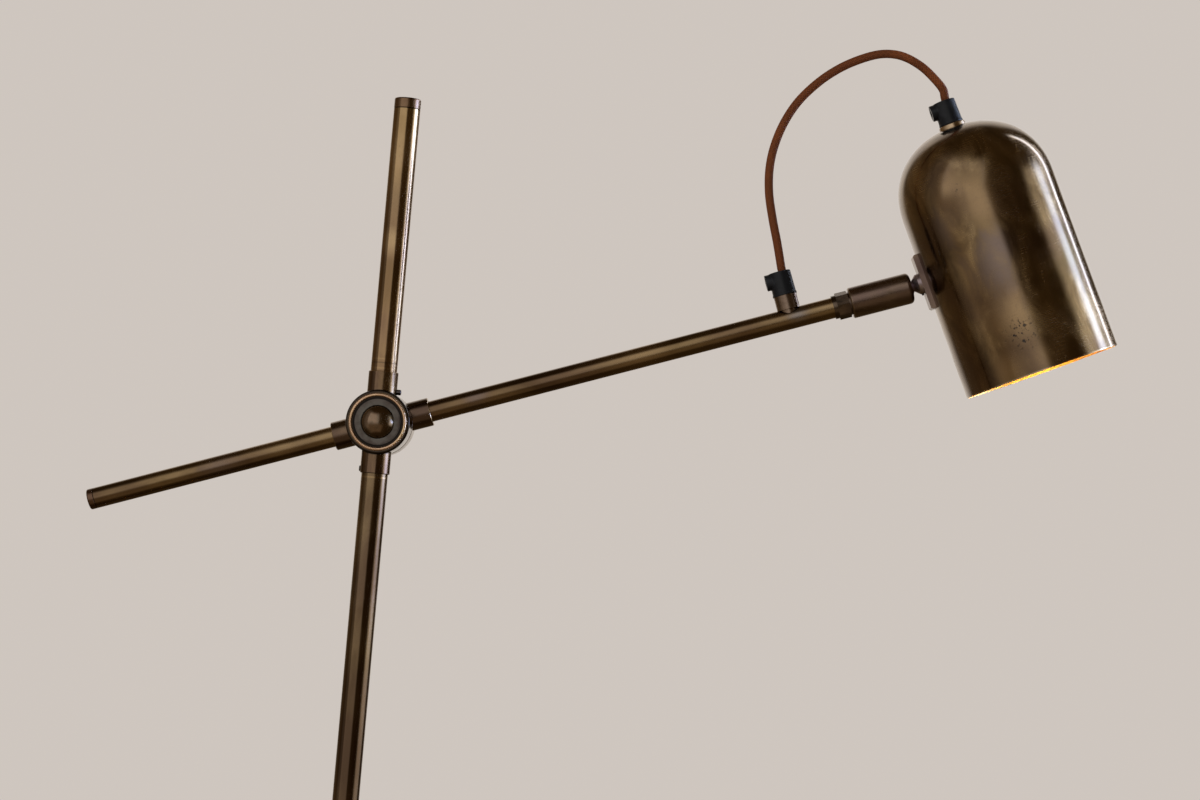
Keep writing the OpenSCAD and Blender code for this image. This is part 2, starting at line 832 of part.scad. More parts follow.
module seat_spring() {
    wire = 1.6;
    turns = 5;
    start = barrel_back + nut_spigot_len + wire / 2;
    stop = ball_x - seat_depth - wire / 2;
    coil_r = barrel_bore / 2 - wire / 2 - 0.4;
    steps = turns * 10;
    sides = 6;
    rings = [
        for (i = [0:steps], k = [0:sides - 1])
            let (a = 360 * turns * i / steps, t = 360 * k / sides, r = coil_r + wire / 2 * cos(t))
                [start + (stop - start) * i / steps + wire / 2 * sin(t), r * cos(a), r * sin(a)]
    ];
    walls = [
        for (i = [0:steps - 1], k = [0:sides - 1])
            let (p = i * sides + k, q = i * sides + (k + 1) % sides)
                each [[p, q + sides, p + sides], [p, q, q + sides]]
    ];
    ends = [
        [for (k = [sides - 1:-1:0]) k],
        [for (k = [0:sides - 1]) steps * sides + k]
    ];
    color(steel_grey) on_boom() polyhedron(rings, concat(walls, ends));
}

module ball_seat() {
    color(bead_gold) on_boom() translate([ball_x, 0, 0]) rotate([0, 90, 0])
        rotate_extrude() difference() {
            translate([seat_bore_r, -seat_depth])
                square([barrel_bore / 2 - seat_gap - seat_bore_r, seat_depth - 2]);
            circle(d = ball_d + 2 * ball_fit);
        }
}

// ---- Shade ----

module ball_stud() {
    stud_end = stud_len + pivot_t + shade_wall + stud_nut_t + stud_tail;
    color(steel_grey) on_shade() translate([-shade_x, 0, stud_z]) difference() {
        rotate([0, 90, 0]) rotate_extrude() {
            intersection() {
                circle(d = ball_d);
                translate([0, -ball_d]) square([ball_d, 2 * ball_d]);
            }
            polygon([
                [0, 0], [neck_r, 0], [neck_r, neck_start], [stud_collar_r, stud_collar_x],
                [stud_collar_r, stud_len], [m6_d / 2, stud_len], [m6_d / 2, stud_end],
                [0, stud_end]
            ]);
        }
        translate([lock_screw_x, 0, 0]) rod_z(lock_screw_d + 2 * fit, -ball_d, -lock_screw_in);
    }
}

module stud_lock_screw() {
    color(dark_brass) on_shade() translate([-shade_x + lock_screw_x, 0, stud_z])
        rod_z(lock_screw_d, -stud_collar_r - lock_screw_out, -lock_screw_in - fit);
}

module pivot_plate() {
    half = pivot_len / 2;
    edge = plate_edge;
    color(dark_brass) on_shade() difference() {
        translate([-shade_r - pivot_t, 0, stud_z])
            rotate([90, 0, 0]) linear_extrude(pivot_w, center = true)
                polygon([
                    [edge, -half], [pivot_t + 1, -half], [pivot_t + 1, half], [edge, half],
                    [0, half - edge], [0, -half + edge]
                ]);
        translate([0, 0, stud_z - pivot_len])
            cylinder(r = shade_r + fit, h = 2 * pivot_len, $fn = 720);
        translate([0, 0, stud_z]) rod_x(m6_d + 2 * fit, -shade_d, 0);
    }
}

module stud_nut() {
    color(steel_grey) on_shade() translate([-shade_r + shade_wall, 0, stud_z]) difference() {
        rotate([0, 90, 0]) hex_nut(stud_nut_af, m6_d + 2 * fit, stud_nut_t);
        translate([shade_r - shade_wall, 0, -stud_nut_af]) difference() {
            cylinder(d = 2 * shade_d, h = 2 * stud_nut_af);
            translate([0, 0, -1])
                cylinder(r = shade_r - shade_wall - fit, h = 2 * stud_nut_af + 2, $fn = 720);
        }
    }
}

// The solid of the shade's outside, drawn in by a wall
module bullet(inset) {
    steps = 22;
    spread = 1.6;
    r = shade_r - inset;
    top = crown_z - inset;
    dome = [
        for (i = [1:steps - 1])
            let (x = r - (r - crown_flat_r) * pow(i / steps, spread))
                [x, shade_wall_len + dome_rise(x, r, dome_h - inset)]
    ];
    rotate_extrude(convexity = 4)
        polygon(concat(
            [[0, 0], [r, 0], [r, shade_wall_len]], dome, [[crown_flat_r, top], [0, top]]
        ));
}

module shade() {
    color(aged_brass) on_shade() difference() {
        bullet(0);
        bullet(shade_wall);
        rod_z(shade_d - 2 * shade_wall, -1, 1);
        rod_z(nipple_d + 2 * fit, crown_inner_z - 1, crown_z + 1);
        translate([0, 0, stud_z]) rod_x(m6_d + 2 * fit, -shade_d, 0);
    }
}

module crown_ring() {
    color(bead_gold) on_shade() translate([0, 0, crown_z]) difference() {
        capped_rod(crown_d, crown_t, 1);
        rod_z(nipple_d + 2 * fit, -1, crown_t + 1);
    }
}

module upper_grip() {
    on_shade() translate([0, 0, grip_z]) cord_grip(upper_cord_off);
}

module upper_grip_screw() {
    on_shade() translate([0, 0, grip_z]) grip_screw();
}

module crown_nipple() {
    color(steel_grey) on_shade() tube_z(nipple_d, wire_bore, nipple_bottom, grip_z + nipple_grip);
}

module lock_washer() {
    color(steel_grey) on_shade()
        tube_z(lock_washer_d, nipple_d + 2 * fit, crown_inner_z - lock_washer_t, crown_inner_z);
}

module lock_nut() {
    color(steel_grey) on_shade() translate([0, 0, lock_nut_z])
        hex_nut(lock_nut_af, nipple_d + 2 * fit, lock_nut_t);
}

// ---- Lamp holder and lamp ----

module holder_cap() {
    z0 = holder_top - holder_cap_h;
    inner_d = holder_d - 2 * holder_wall;
    color(dark_brass) on_shade() difference() {
        union() {
            rod_z(holder_d, z0, z0 + holder_skirt);
            translate([0, 0, z0 + holder_skirt])
                cylinder(d1 = holder_d, d2 = lock_washer_d, h = holder_cap_h - holder_skirt);
        }
        rod_z(inner_d, z0 - 1, z0 + holder_skirt);
        translate([0, 0, z0 + holder_skirt])
            cylinder(d1 = inner_d, d2 = lock_washer_d - 2 * holder_wall,
                     h = holder_cap_h - 2 * holder_skirt);
        rod_z(nipple_d + 2 * fit, z0, holder_top + 1);
    }
}

module holder_body() {
    color(porcelain) on_shade()
        tube_z(holder_d, holder_bore, holder_body_z, holder_body_z + holder_h);
}

module holder_core() {
    color(porcelain) on_shade() rod_z(holder_bore - 2 * fit, core_z, core_z + core_t);
}

module lamp_cap() {
    top = lamp_cap_z + lamp_cap_len;
    bore = lamp_cap_d - 2 * lamp_cap_wall;
    color(steel_grey) on_shade() {
        difference() {
            rod_z(lamp_cap_d, lamp_cap_z, top);
            rod_z(bore, lamp_cap_z - 1, top - 2 * lamp_cap_wall);
        }
        rod_z(lamp_tip_d, top - lamp_cap_wall, top + lamp_tip_t);
    }
}

// The profile of the lamp's glass, drawn in by a wall
module lamp_profile(inset) {
    r = lamp_r - inset;
    centre = lamp_tip_z + lamp_r;
    neck = glass_neck_r - inset;
    intersection() {
        union() {
            translate([0, centre]) circle(r);
            polygon([
                [0, centre], [r * cos(glass_shoulder), centre + r * sin(glass_shoulder)],
                [neck, glass_top - glass_neck_len], [neck, glass_top], [0, glass_top]
            ]);
        }
        translate([0, lamp_tip_z - 1]) square([lamp_d, lamp_len + 10]);
    }
}

module lamp_glass_bulb() {
    color(lamp_glass) on_shade() rotate_extrude() difference() {
        lamp_profile(0);
        lamp_profile(glass_wall);
    }
}

// ---- Cord ----

module cord_loop() {
    foot = [
        for (z = [cord_foot_z, cord_out_z]) [outlet_x + lower_cord_off, outlet_h + z]
    ];
    head = [
        for (z = [cord_out_z, cord_foot_z]) shade_point(upper_cord_off, grip_z + z)
    ];
    color(cord_rust) on_boom()
        swept_cord(concat(foot, cord_loop_points, head), cord_d, cord_sides);
}

base_pad();
base_weight();
base_cover();
lead_inlet();
base_nut();
base_washer();
threaded_rod();
post_foot();
post_bush();
lower_tube();
tube_coupler();
middle_tube();
upper_tube();
post_cap();
post_drum();
post_set_screws();
clutch_bolt();
clutch_spring();
clutch_nut();
bead_ring();
face_plate();
dome_button();
friction_washer();
boom_drum();
boom_set_screws();
drum_back_cap();
rear_tube();
boom_cap();
front_tube();
cord_outlet();
lower_grip();
lower_grip_screw();
friction_nut();
knuckle_barrel();
seat_spring();
ball_seat();
ball_stud();
stud_lock_screw();
pivot_plate();
stud_nut();
shade();
crown_ring();
upper_grip();
upper_grip_screw();
crown_nipple();
lock_washer();
lock_nut();
holder_cap();
holder_body();
holder_core();
lamp_cap();
lamp_glass_bulb();
cord_loop();
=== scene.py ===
"""Looks of a bridge floor lamp in aged brass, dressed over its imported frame.

Everything is in metres, in the frame's own axes: +Z up, +X towards the shade, the
camera on the -Y side. Each sub-assembly is a class with its sizes as fields; each
finish is a frozen dataclass that builds one procedural material.
"""

from __future__ import annotations

import json
import logging
import math
from dataclasses import dataclass
from enum import Enum
from typing import Any, Callable, Iterable, Sequence

import bmesh
import bpy
from mathutils import Matrix, Vector

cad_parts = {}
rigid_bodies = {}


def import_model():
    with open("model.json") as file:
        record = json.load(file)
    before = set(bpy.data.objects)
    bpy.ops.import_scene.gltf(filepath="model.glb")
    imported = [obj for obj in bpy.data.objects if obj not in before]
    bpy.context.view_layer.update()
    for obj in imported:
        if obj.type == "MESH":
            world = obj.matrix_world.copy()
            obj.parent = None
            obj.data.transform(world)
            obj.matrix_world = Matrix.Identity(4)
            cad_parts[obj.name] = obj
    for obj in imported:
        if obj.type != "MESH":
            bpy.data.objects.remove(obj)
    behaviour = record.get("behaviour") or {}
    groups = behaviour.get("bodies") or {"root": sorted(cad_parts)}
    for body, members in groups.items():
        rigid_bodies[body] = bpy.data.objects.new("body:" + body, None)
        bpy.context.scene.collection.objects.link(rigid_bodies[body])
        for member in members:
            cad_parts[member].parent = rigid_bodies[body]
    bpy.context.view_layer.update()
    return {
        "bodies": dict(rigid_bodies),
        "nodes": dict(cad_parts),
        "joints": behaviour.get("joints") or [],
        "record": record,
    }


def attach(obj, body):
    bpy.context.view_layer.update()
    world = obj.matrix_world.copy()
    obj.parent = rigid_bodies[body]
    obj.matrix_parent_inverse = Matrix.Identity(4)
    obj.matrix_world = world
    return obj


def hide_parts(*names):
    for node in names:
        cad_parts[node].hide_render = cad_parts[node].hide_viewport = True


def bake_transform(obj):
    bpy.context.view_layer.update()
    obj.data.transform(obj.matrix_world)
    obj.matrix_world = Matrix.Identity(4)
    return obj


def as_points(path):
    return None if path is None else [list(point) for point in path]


LOG = logging.getLogger("bridge_lamp")
Colour = tuple[float, float, float]
Point = tuple[float, float, float]
Place = Point | Vector
Object = bpy.types.Object
Material = bpy.types.Material


# ---- Frames of the boom and the shade ----


@dataclass(frozen=True)
class Frames:
    """Where the boom's and the shade's own frames stand in the model's frame.

    Attributes:
        joint: Centre of the swivel, on the boom's axis.
        rise: Angle of the boom above level, in degrees.
        tilt: Angle of the shade's stud above level, in degrees.
        ball_along: Swivel's centre to the ball's centre, along the boom.
        shade_off: Ball's centre to the shade's axis.
        stud_up: Rim to the stud, along the shade.
    """

    joint: Point = (0.0, 0.02175, 1.2)
    rise: float = 19.25
    tilt: float = 24.4
    ball_along: float = 0.387
    shade_off: float = 0.073
    stud_up: float = 0.089

    def boom(self, along: float, above: float, aside: float = 0.0) -> Vector:
        """Returns the point at that place in the boom's frame."""
        c, s = math.cos(math.radians(self.rise)), math.sin(math.radians(self.rise))
        return Vector(self.joint) + Vector((along * c - above * s, aside, along * s + above * c))

    def shade(self, out: float, up: float, aside: float = 0.0) -> Vector:
        """Returns the point at that place in the shade's frame, which stands on the rim."""
        c, s = math.cos(math.radians(self.tilt)), math.sin(math.radians(self.tilt))
        x, z = self.shade_off + out, up - self.stud_up
        return self.boom(self.ball_along, 0.0) + Vector((x * c - z * s, aside, x * s + z * c))

    def boom_matrix(self, along: float, above: float) -> Matrix:
        """Returns the matrix that places a mesh drawn at that place in the boom's frame."""
        turn = Matrix.Rotation(-math.radians(self.rise), 4, "Y")
        return Matrix.Translation(self.boom(along, above)) @ turn

    def shade_matrix(self, up: float = 0.0) -> Matrix:
        """Returns the matrix that places a mesh drawn at that height in the shade's frame."""
        turn = Matrix.Rotation(-math.radians(self.tilt), 4, "Y")
        return Matrix.Translation(self.shade(0.0, up)) @ turn


FRAMES = Frames()


class Grain(Enum):
    """The axis that a metal's grain and streaks follow, as a turn about Y in degrees."""

    POST = 0.0
    BOOM = FRAMES.rise - 90.0
    SHADE = FRAMES.tilt


# ---- Node trees as expressions ----


def operator(operation: str, reflected: bool = False) -> Callable[[Sock, Any], Sock]:
    """Makes one arithmetic operator of Sock.

    Args:
        operation: What its Math node does.
        reflected: True where the socket stands to the right of the other value.

    Returns:
        The method.
    """

    def apply(self: Sock, other: Any) -> Sock:
        """Adds a Math node for this socket and a number or a socket."""
        return self.graph.math(operation, *((other, self) if reflected else (self, other)))

    return apply


class Sock:
    """One output socket, with arithmetic that adds the Math nodes it needs."""

    def __init__(self, graph: Graph, socket: bpy.types.NodeSocket) -> None:
        """Keeps the socket and the graph that it belongs to."""
        self.graph = graph
        self.socket = socket

    __add__, __radd__ = operator("ADD"), operator("ADD", True)
    __sub__, __rsub__ = operator("SUBTRACT"), operator("SUBTRACT", True)
    __mul__, __rmul__ = operator("MULTIPLY"), operator("MULTIPLY", True)
    __truediv__, __rtruediv__ = operator("DIVIDE"), operator("DIVIDE", True)
    __pow__ = operator("POWER")

    def step(self, low: float, high: float) -> Sock:
        """Rises smoothly from 0 at low to 1 at high, or falls where low is the greater.

        Args:
            low: Value of this socket at which the result is 0.
            high: Value of this socket at which the result is 1.

        Returns:
            The masked value, from 0 to 1.
        """
        first, last, ends = (low, high, (0.0, 1.0)) if low < high else (high, low, (1.0, 0.0))
        return self.graph.node(
            "ShaderNodeMapRange",
            {"interpolation_type": "SMOOTHSTEP"},
            {"Value": self, "From Min": first, "From Max": last,
             "To Min": ends[0], "To Max": ends[1]},
        )


class Graph:
    """Adds nodes to one node tree, each with its settings and inputs in one call."""

    family = "ShaderNode"

    def __init__(self, tree: bpy.types.NodeTree) -> None:
        """Keeps the tree that the nodes go into."""
        self.tree = tree

    def node(
        self,
        kind: str,
        settings: dict[str, Any] | None = None,
        inputs: dict[Any, Any] | None = None,
        output: str | int = 0,
    ) -> Sock:
        """Makes one node.

        Args:
            kind: The node's type name, where the family's own prefix may be left out.
            settings: Properties, set first. "stops" fills a colour ramp.
            inputs: Values or sockets for the node's inputs, by name or index.
            output: The output that is returned, by name or index.

        Returns:
            That output as a socket.
        """
        made = self.tree.nodes.new(kind if "Node" in kind else self.family + kind)
        for key, value in (settings or {}).items():
            if key == "stops":
                self._stops(made.color_ramp, value)
            else:
                setattr(made, key, value)
        for key, value in (inputs or {}).items():
            self.feed(made.inputs[key], value)
        return Sock(self, made.outputs[output]) if made.outputs else Sock(self, None)

    @staticmethod
    def _stops(ramp: bpy.types.ColorRamp, stops: Sequence[tuple[float, Colour]]) -> None:
        """Fills a colour ramp with (position, colour) stops."""
        while len(ramp.elements) < len(stops):
            ramp.elements.new(1.0)
        for element, (place, colour) in zip(ramp.elements, stops):
            element.position = place
            element.color = (*colour, 1.0)

    def feed(self, socket: bpy.types.NodeSocket, value: Any) -> None:
        """Links a socket into an input, or sets a plain value on it."""
        if isinstance(value, Sock):
            self.tree.links.new(value.socket, socket)
        elif isinstance(value, tuple) and socket.type == "RGBA":
            socket.default_value = (*value[:3], 1.0)
        else:
            socket.default_value = value

    def math(self, operation: str, *values: Any) -> Sock:
        """Adds one Math node and returns its output."""
        return self.node(
            "ShaderNodeMath", {"operation": operation}, dict(enumerate(values))
        )

    def vector(self, operation: str, *values: Any, output: int = 0) -> Sock:
        """Adds one Vector Math node and returns its vector, or its number if output is 1."""
        return self.node(
            "ShaderNodeVectorMath", {"operation": operation}, dict(enumerate(values)), output
        )

    def split(self, vector: Sock) -> tuple[Sock, Sock, Sock]:
        """Returns the three parts of a vector."""
        made = self.node("ShaderNodeSeparateXYZ", inputs={0: vector}).socket.node
        return tuple(Sock(self, made.outputs[i]) for i in range(3))

    def join(self, x: Any, y: Any, z: Any) -> Sock:
        """Returns a vector made of three numbers or sockets."""
        return self.node("ShaderNodeCombineXYZ", inputs={0: x, 1: y, 2: z})


class Shader(Graph):
    """A material's node tree, with the few textures that the finishes share."""

    def __init__(self, name: str) -> None:
        """Makes an empty material of that name."""
        self.material = bpy.data.materials.new(name)
        self.material.use_nodes = True
        self.material.node_tree.nodes.clear()
        super().__init__(self.material.node_tree)

    def place(self, turn: float = 0.0, centre: Place = (0.0, 0.0, 0.0)) -> Sock:
        """Returns Object coordinates, moved to a centre and turned about Y.

        Args:
            turn: Angle that brings the grain's axis onto Z, in degrees.
            centre: The point that becomes the pattern's origin.

        Returns:
            The coordinates, in metres.
        """
        at = self.node("TexCoord", output="Object")
        moved = self.vector("SUBTRACT", at, centre)
        return self.node(
            "Mapping",
            {"vector_type": "POINT"},
            {"Vector": moved, "Rotation": (0.0, math.radians(turn), 0.0)},
        )

    def noise(
        self, at: Sock, scale: float, detail: float = 3.0, rough: float = 0.5, bend: float = 0.0
    ) -> Sock:
        """Returns a noise value from 0 to 1 at those coordinates."""
        return self.node(
            "TexNoise",
            inputs={"Vector": at, "Scale": scale, "Detail": detail, "Roughness": rough,
                    "Distortion": bend},
        )

    def stretch(self, at: Sock, x: float, y: float, z: float) -> Sock:
        """Returns coordinates scaled by a number on each axis."""
        return self.vector("MULTIPLY", at, (x, y, z))

    def ramp(self, value: Sock, stops: Sequence[tuple[float, Colour]]) -> Sock:
        """Returns the colour at that value along the stops."""
        return self.node("ValToRGB", {"stops": stops}, {"Fac": value})

    def mix(self, low: Any, high: Any, share: Any, blend: str = "MIX") -> Sock:
        """Returns a mix of two colours, low where share is 0."""
        return self.node(
            "Mix", {"data_type": "RGBA", "blend_type": blend},
            {0: share, 6: low, 7: high}, output=2,
        )

    def bump(self, height: Sock, depth: float, strength: float = 1.0) -> Sock:
        """Returns the normal of a surface raised by height times depth metres."""
        return self.node(
            "Bump", inputs={"Height": height, "Distance": depth, "Strength": strength}
        )

    def finish(self, **inputs: Any) -> Material:
        """Ends the tree in a Principled shader.

        Args:
            **inputs: The shader's inputs, with underscores for spaces.

        Returns:
            The finished material.
        """
        values = {key.replace("_", " "): value for key, value in inputs.items()}
        shader = self.node("BsdfPrincipled", inputs=values)
        self.node("OutputMaterial", inputs={"Surface": shader})
        return self.material


# ---- Finishes ----


def paler(colour: Colour, gain: float, lift: float = 0.0) -> Colour:
    """Returns the colour times the gain, raised by the lift and held under 1."""
    return tuple(min(1.0, c * gain + lift) for c in colour)


@dataclass(frozen=True)
class Pits:
    """A cluster of small dark pits in a metal's skin: its centre and its radius."""

    centre: Place
    radius: float


@dataclass(frozen=True)
class Blush:
    """A cloud of another tone in the patina, with its centre, radius and strength."""

    centre: Place
    radius: float
    tone: Colour
    share: float = 0.7


@dataclass(frozen=True)
class Band:
    """A ring of another tone round the metal's axis, such as a seam, a worn edge or a painted
    edge highlight.

    Attributes:
        at: Place along the axis, from the finish's centre.
        width: Width of the ring.
        tone: Its colour.
        share: How much of that colour it takes.
    """

    at: float
    width: float
    tone: Colour
    share: float = 0.8


@dataclass(frozen=True)
class Rim:
    """A ring of another tone on a face across Y, between two radii about its centre; in this lamp
    each one is painted shade in a groove or at a socket's root.
    """

    centre: Point
    inner: float
    outer: float
    tone: Colour
    share: float = 0.9


@dataclass(frozen=True)
class AgedMetal:
    """A patinated metal: mottled colour, hairlines, soft waves, pits and clouds.

    Attributes:
        name: The material's name.
        dark: Colour of the deepest patina.
        body: Colour of most of the surface.
        light: Colour where the patina has worn thin.
        rough: Lowest and highest roughness.
        grain: The axis that streaks and hairlines follow.
        centre: A point on that axis.
        spun: True where the hairlines run round the axis instead of along it.
        patches: Patches of patina to the metre.
        coat: Weight of the wax over the metal.
        gloss: Roughness of that wax.
        waves: Height of the waves in the surface, in metres.
        ripple: How much stronger the slow waves are than the fine ones.
        pits: Where small pits lie.
        blushes: Where the patina has another tone.
        bands: Rings of another tone.
        rims: Rings of painted shade on faces across Y.
        mottle: How far the patina's cloud moves its tone, from 0 to 1.
        rubbed: How bright the rubbed streaks are, from 0 to 1.
        stops: Where the three tones stand on the patina's scale.
        specks: Dark specks to the metre.
        grit: Grains of a cluster of pits to the metre.
        pit: Colour inside a pit.
        drawn: Hairlines and rubbed streaks to the metre, along the axis.
        ringed: Hairlines and rubbed streaks to the metre, round the axis.
    """

    name: str
    dark: Colour
    body: Colour
    light: Colour
    rough: tuple[float, float] = (0.2, 0.38)
    grain: Grain = Grain.POST
    centre: Place = (0.0, 0.0, 0.0)
    spun: bool = False
    patches: float = 26.0
    coat: float = 0.22
    gloss: float = 0.1
    waves: float = 0.00005
    ripple: float = 1.0
    pits: tuple[Pits, ...] = ()
    blushes: tuple[Blush, ...] = ()
    bands: tuple[Band, ...] = ()
    rims: tuple[Rim, ...] = ()
    mottle: float = 0.4
    rubbed: float = 0.3
    stops: tuple[float, float, float] = (0.39, 0.5, 0.62)
    specks: float = 900.0
    grit: float = 430.0
    pit: Colour = (0.012, 0.010, 0.010)
    drawn: tuple[float, float] = (1900.0, 160.0)
    ringed: tuple[float, float] = (1500.0, 210.0)

    def build(self) -> Material:
        """Builds the material and returns it."""
        s = Shader(self.name)
        at = s.place(self.grain.value, self.centre)
        world = s.place()
        patch = s.noise(s.stretch(at, 1, 1, 0.45), self.patches, 5.0, 0.62, 0.6)
        cloud = s.noise(at, self.patches * 0.4, 2.0, 0.5)
        speck = s.noise(at, self.specks, 2.0, 0.6)
        hair, rub = self._hairlines(s, at)
        share = patch * (1.0 - self.mottle) + cloud * self.mottle
        tone = s.ramp(share, list(zip(self.stops, (self.dark, self.body, self.light))))
        plum = tuple(c * k for c, k in zip(self.body, (0.85, 0.78, 1.05)))
        tone = s.mix(tone, plum, cloud.step(0.6, 0.4) * 0.5)
        for blush in self.blushes:
            near = s.vector("DISTANCE", world, blush.centre, output=1)
            edge = near + (patch - 0.5) * blush.radius * 2.2
            tone = s.mix(tone, blush.tone, edge.step(blush.radius, 0.0) * blush.share)
        tone = s.mix(tone, self.light, rub.step(0.58, 0.78) * self.rubbed)
        tone = s.mix(tone, self.dark, speck.step(0.62, 0.72) * 0.3)
        height = cloud * self.ripple + rub * 0.08 + hair * 0.04
        low, high = self.rough
        rough = low + patch.step(0.35, 0.65) * (high - low) + hair.step(0.45, 0.75) * 0.06
        for band in self.bands:
            off = s.math("ABSOLUTE", s.split(at)[2] - band.at)
            mask = off.step(band.width * 0.75, band.width * 0.35) * band.share
            tone = s.mix(tone, band.tone, mask)
        # Painted shade: each rim darkens a ring on a face across Y, where a groove or a socket's
        # root lies in shade.
        for rim in self.rims:
            x, _, z = s.split(s.vector("SUBTRACT", world, rim.centre))
            far = s.math("SQRT", x * x + z * z)
            soft = (rim.outer - rim.inner) * 0.15
            mask = far.step(rim.inner - soft, rim.inner + soft)
            mask = mask * far.step(rim.outer + soft, rim.outer - soft) * rim.share
            tone = s.mix(tone, rim.tone, mask)
        grit = s.noise(world, self.grit, 3.0, 0.6)
        for pits in self.pits:
            near = s.vector("DISTANCE", world, pits.centre, output=1)
            here = near.step(pits.radius, pits.radius * 0.3) * grit.step(0.575, 0.625)
            tone = s.mix(tone, self.pit, here * 0.92)
            height = height - here * 1.2
        return s.finish(
            Base_Color=tone, Metallic=1.0, Roughness=rough, Coat_Weight=self.coat,
            Coat_Roughness=self.gloss, Normal=s.bump(height, self.waves),
        )

    def _hairlines(self, s: Shader, at: Sock) -> tuple[Sock, Sock]:
        """Makes the fine lines that drawing or spinning leaves.

        Args:
            s: The material's shader.
            at: Coordinates with the axis on Z.

        Returns:
            Fine hairlines and broader rubbed streaks, each from 0 to 1.
        """
        fine, broad = self.ringed if self.spun else self.drawn
        if not self.spun:
            return (s.noise(s.stretch(at, 1, 1, 0.02), fine, 3.0, 0.7),
                    s.noise(s.stretch(at, 1, 1, 0.08), broad, 3.0, 0.6))
        x, y, z = s.split(at)
        far = s.math("SQRT", x * x + y * y)
        ring = s.join(far, z, (x + y) * 0.012)
        return s.noise(ring, fine, 3.0, 0.7), s.noise(ring, broad, 3.0, 0.6)


@dataclass(frozen=True)
class TurnedMetal:
    """A metal face with fine rings about an axis along Y, as a lathe leaves them.

    Attributes:
        name: The material's name.
        colour: Colour at the middle.
        edge: Colour towards the radius.
        centre: Where the axis meets the face.
        radius: Radius of the face.
        rough: Lowest roughness.
        groove: Radius beyond which the face is painted dark, as shade in its groove.
        coat: Weight of the polish over the metal.
        groove_shadow: Colour of that painted shade beyond the groove.
        rings: Scale of the lathe's rings.
    """

    name: str
    colour: Colour
    edge: Colour
    centre: Place
    radius: float
    rough: float = 0.3
    groove: float = 1.0
    coat: float = 0.1
    groove_shadow: Colour = (0.008, 0.006, 0.005)
    rings: float = 900.0

    def build(self) -> Material:
        """Builds the material, with painted shade beyond the radius where a groove starts."""
        s = Shader(self.name)
        at = s.place(0.0, self.centre)
        x, _, z = s.split(at)
        far = s.math("SQRT", x * x + z * z)
        ring = s.noise(s.join(far * self.rings, 0.0, 0.0), 5.0, 3.0, 0.7)
        patch = s.noise(at, 90.0, 4.0, 0.6)
        share = far.step(self.radius * 0.55, self.radius) * 0.7 + patch.step(0.45, 0.65) * 0.4
        tone = s.mix(self.colour, self.edge, s.math("MINIMUM", share, 1.0))
        # Painted shade: the face goes dark beyond the groove's radius.
        tone = s.mix(tone, self.groove_shadow, far.step(self.groove, self.groove + 0.0004))
        rough = self.rough + patch.step(0.4, 0.65) * 0.14
        return s.finish(
            Base_Color=tone, Metallic=1.0, Roughness=rough, Coat_Weight=self.coat,
            Coat_Roughness=0.05, Normal=s.bump(ring * 0.4 + patch, 0.00002),
        )


@dataclass(frozen=True)
class Plastic:
    """A satin moulded plastic with a fine grain and a few rubbed patches."""

    name: str
    colour: Colour
    rough: float = 0.34

    def build(self) -> Material:
        """Builds the material and returns it."""
        s = Shader(self.name)
        at = s.place()
        grain = s.noise(at, 2600.0, 2.0, 0.6)
        patch = s.noise(at, 140.0, 3.0, 0.55)
        pale = paler(self.colour, 1.9, 0.004)
        tone = s.mix(self.colour, pale, patch.step(0.5, 0.72) * 0.6)
        return s.finish(
            Base_Color=tone, Roughness=self.rough + patch.step(0.35, 0.7) * 0.12,
            Specular_IOR_Level=0.2, Normal=s.bump(grain * 0.35 + patch, 0.00003),
        )


@dataclass(frozen=True)
class Braid:
    """The woven sleeve of a cord: bright crowns of strands over crossings darkened with painted
    shade.
    """

    name: str
    crown: Colour
    hollow_shade: Colour

    def build(self) -> Material:
        """Builds the material and returns it."""
        s = Shader(self.name)
        at = s.place()
        height = s.node("Attribute", {"attribute_name": "strand"}, output="Fac")
        fibre = s.noise(at, 5200.0, 2.0, 0.7)
        patch = s.noise(at, 45.0, 3.0, 0.6)
        # Painted shade: the strands' dips take the dark hollow colour and their crowns the bright
        # one, by the strands' height; the pale patches fall on the crowns only.
        tone = s.mix(self.hollow_shade, self.crown, height.step(0.1, 0.8))
        pale = paler(self.crown, 1.9)
        tone = s.mix(tone, pale, patch.step(0.5, 0.72) * 0.5 * height)
        tone = s.mix(tone, self.hollow_shade, fibre.step(0.45, 0.3) * 0.5)
        return s.finish(
            Base_Color=tone, Roughness=0.5 + fibre * 0.2, Sheen_Weight=0.08,
            Sheen_Roughness=0.4, Sheen_Tint=(*self.crown, 1.0), Specular_IOR_Level=0.25,
            Normal=s.bump(fibre, 0.00004),
        )


@dataclass(frozen=True)
class Ceramic:
    """Glazed porcelain with faint clouding and specks."""

    name: str
    colour: Colour = (0.78, 0.75, 0.68)
    fleck: Colour = (0.3, 0.26, 0.2)

    def build(self) -> Material:
        """Builds the material and returns it."""
        s = Shader(self.name)
        at = s.place()
        cloud = s.noise(at, 60.0, 3.0, 0.5)
        speck = s.noise(at, 1100.0, 1.0, 0.5)
        shade = tuple(c * 0.88 for c in self.colour)
        tone = s.mix(self.colour, shade, cloud.step(0.4, 0.7))
        tone = s.mix(tone, self.fleck, speck.step(0.72, 0.78) * 0.4)
        return s.finish(
            Base_Color=tone, Roughness=0.16 + cloud * 0.1, Coat_Weight=0.4, Coat_Roughness=0.05,
            Normal=s.bump(cloud, 0.0001),
        )


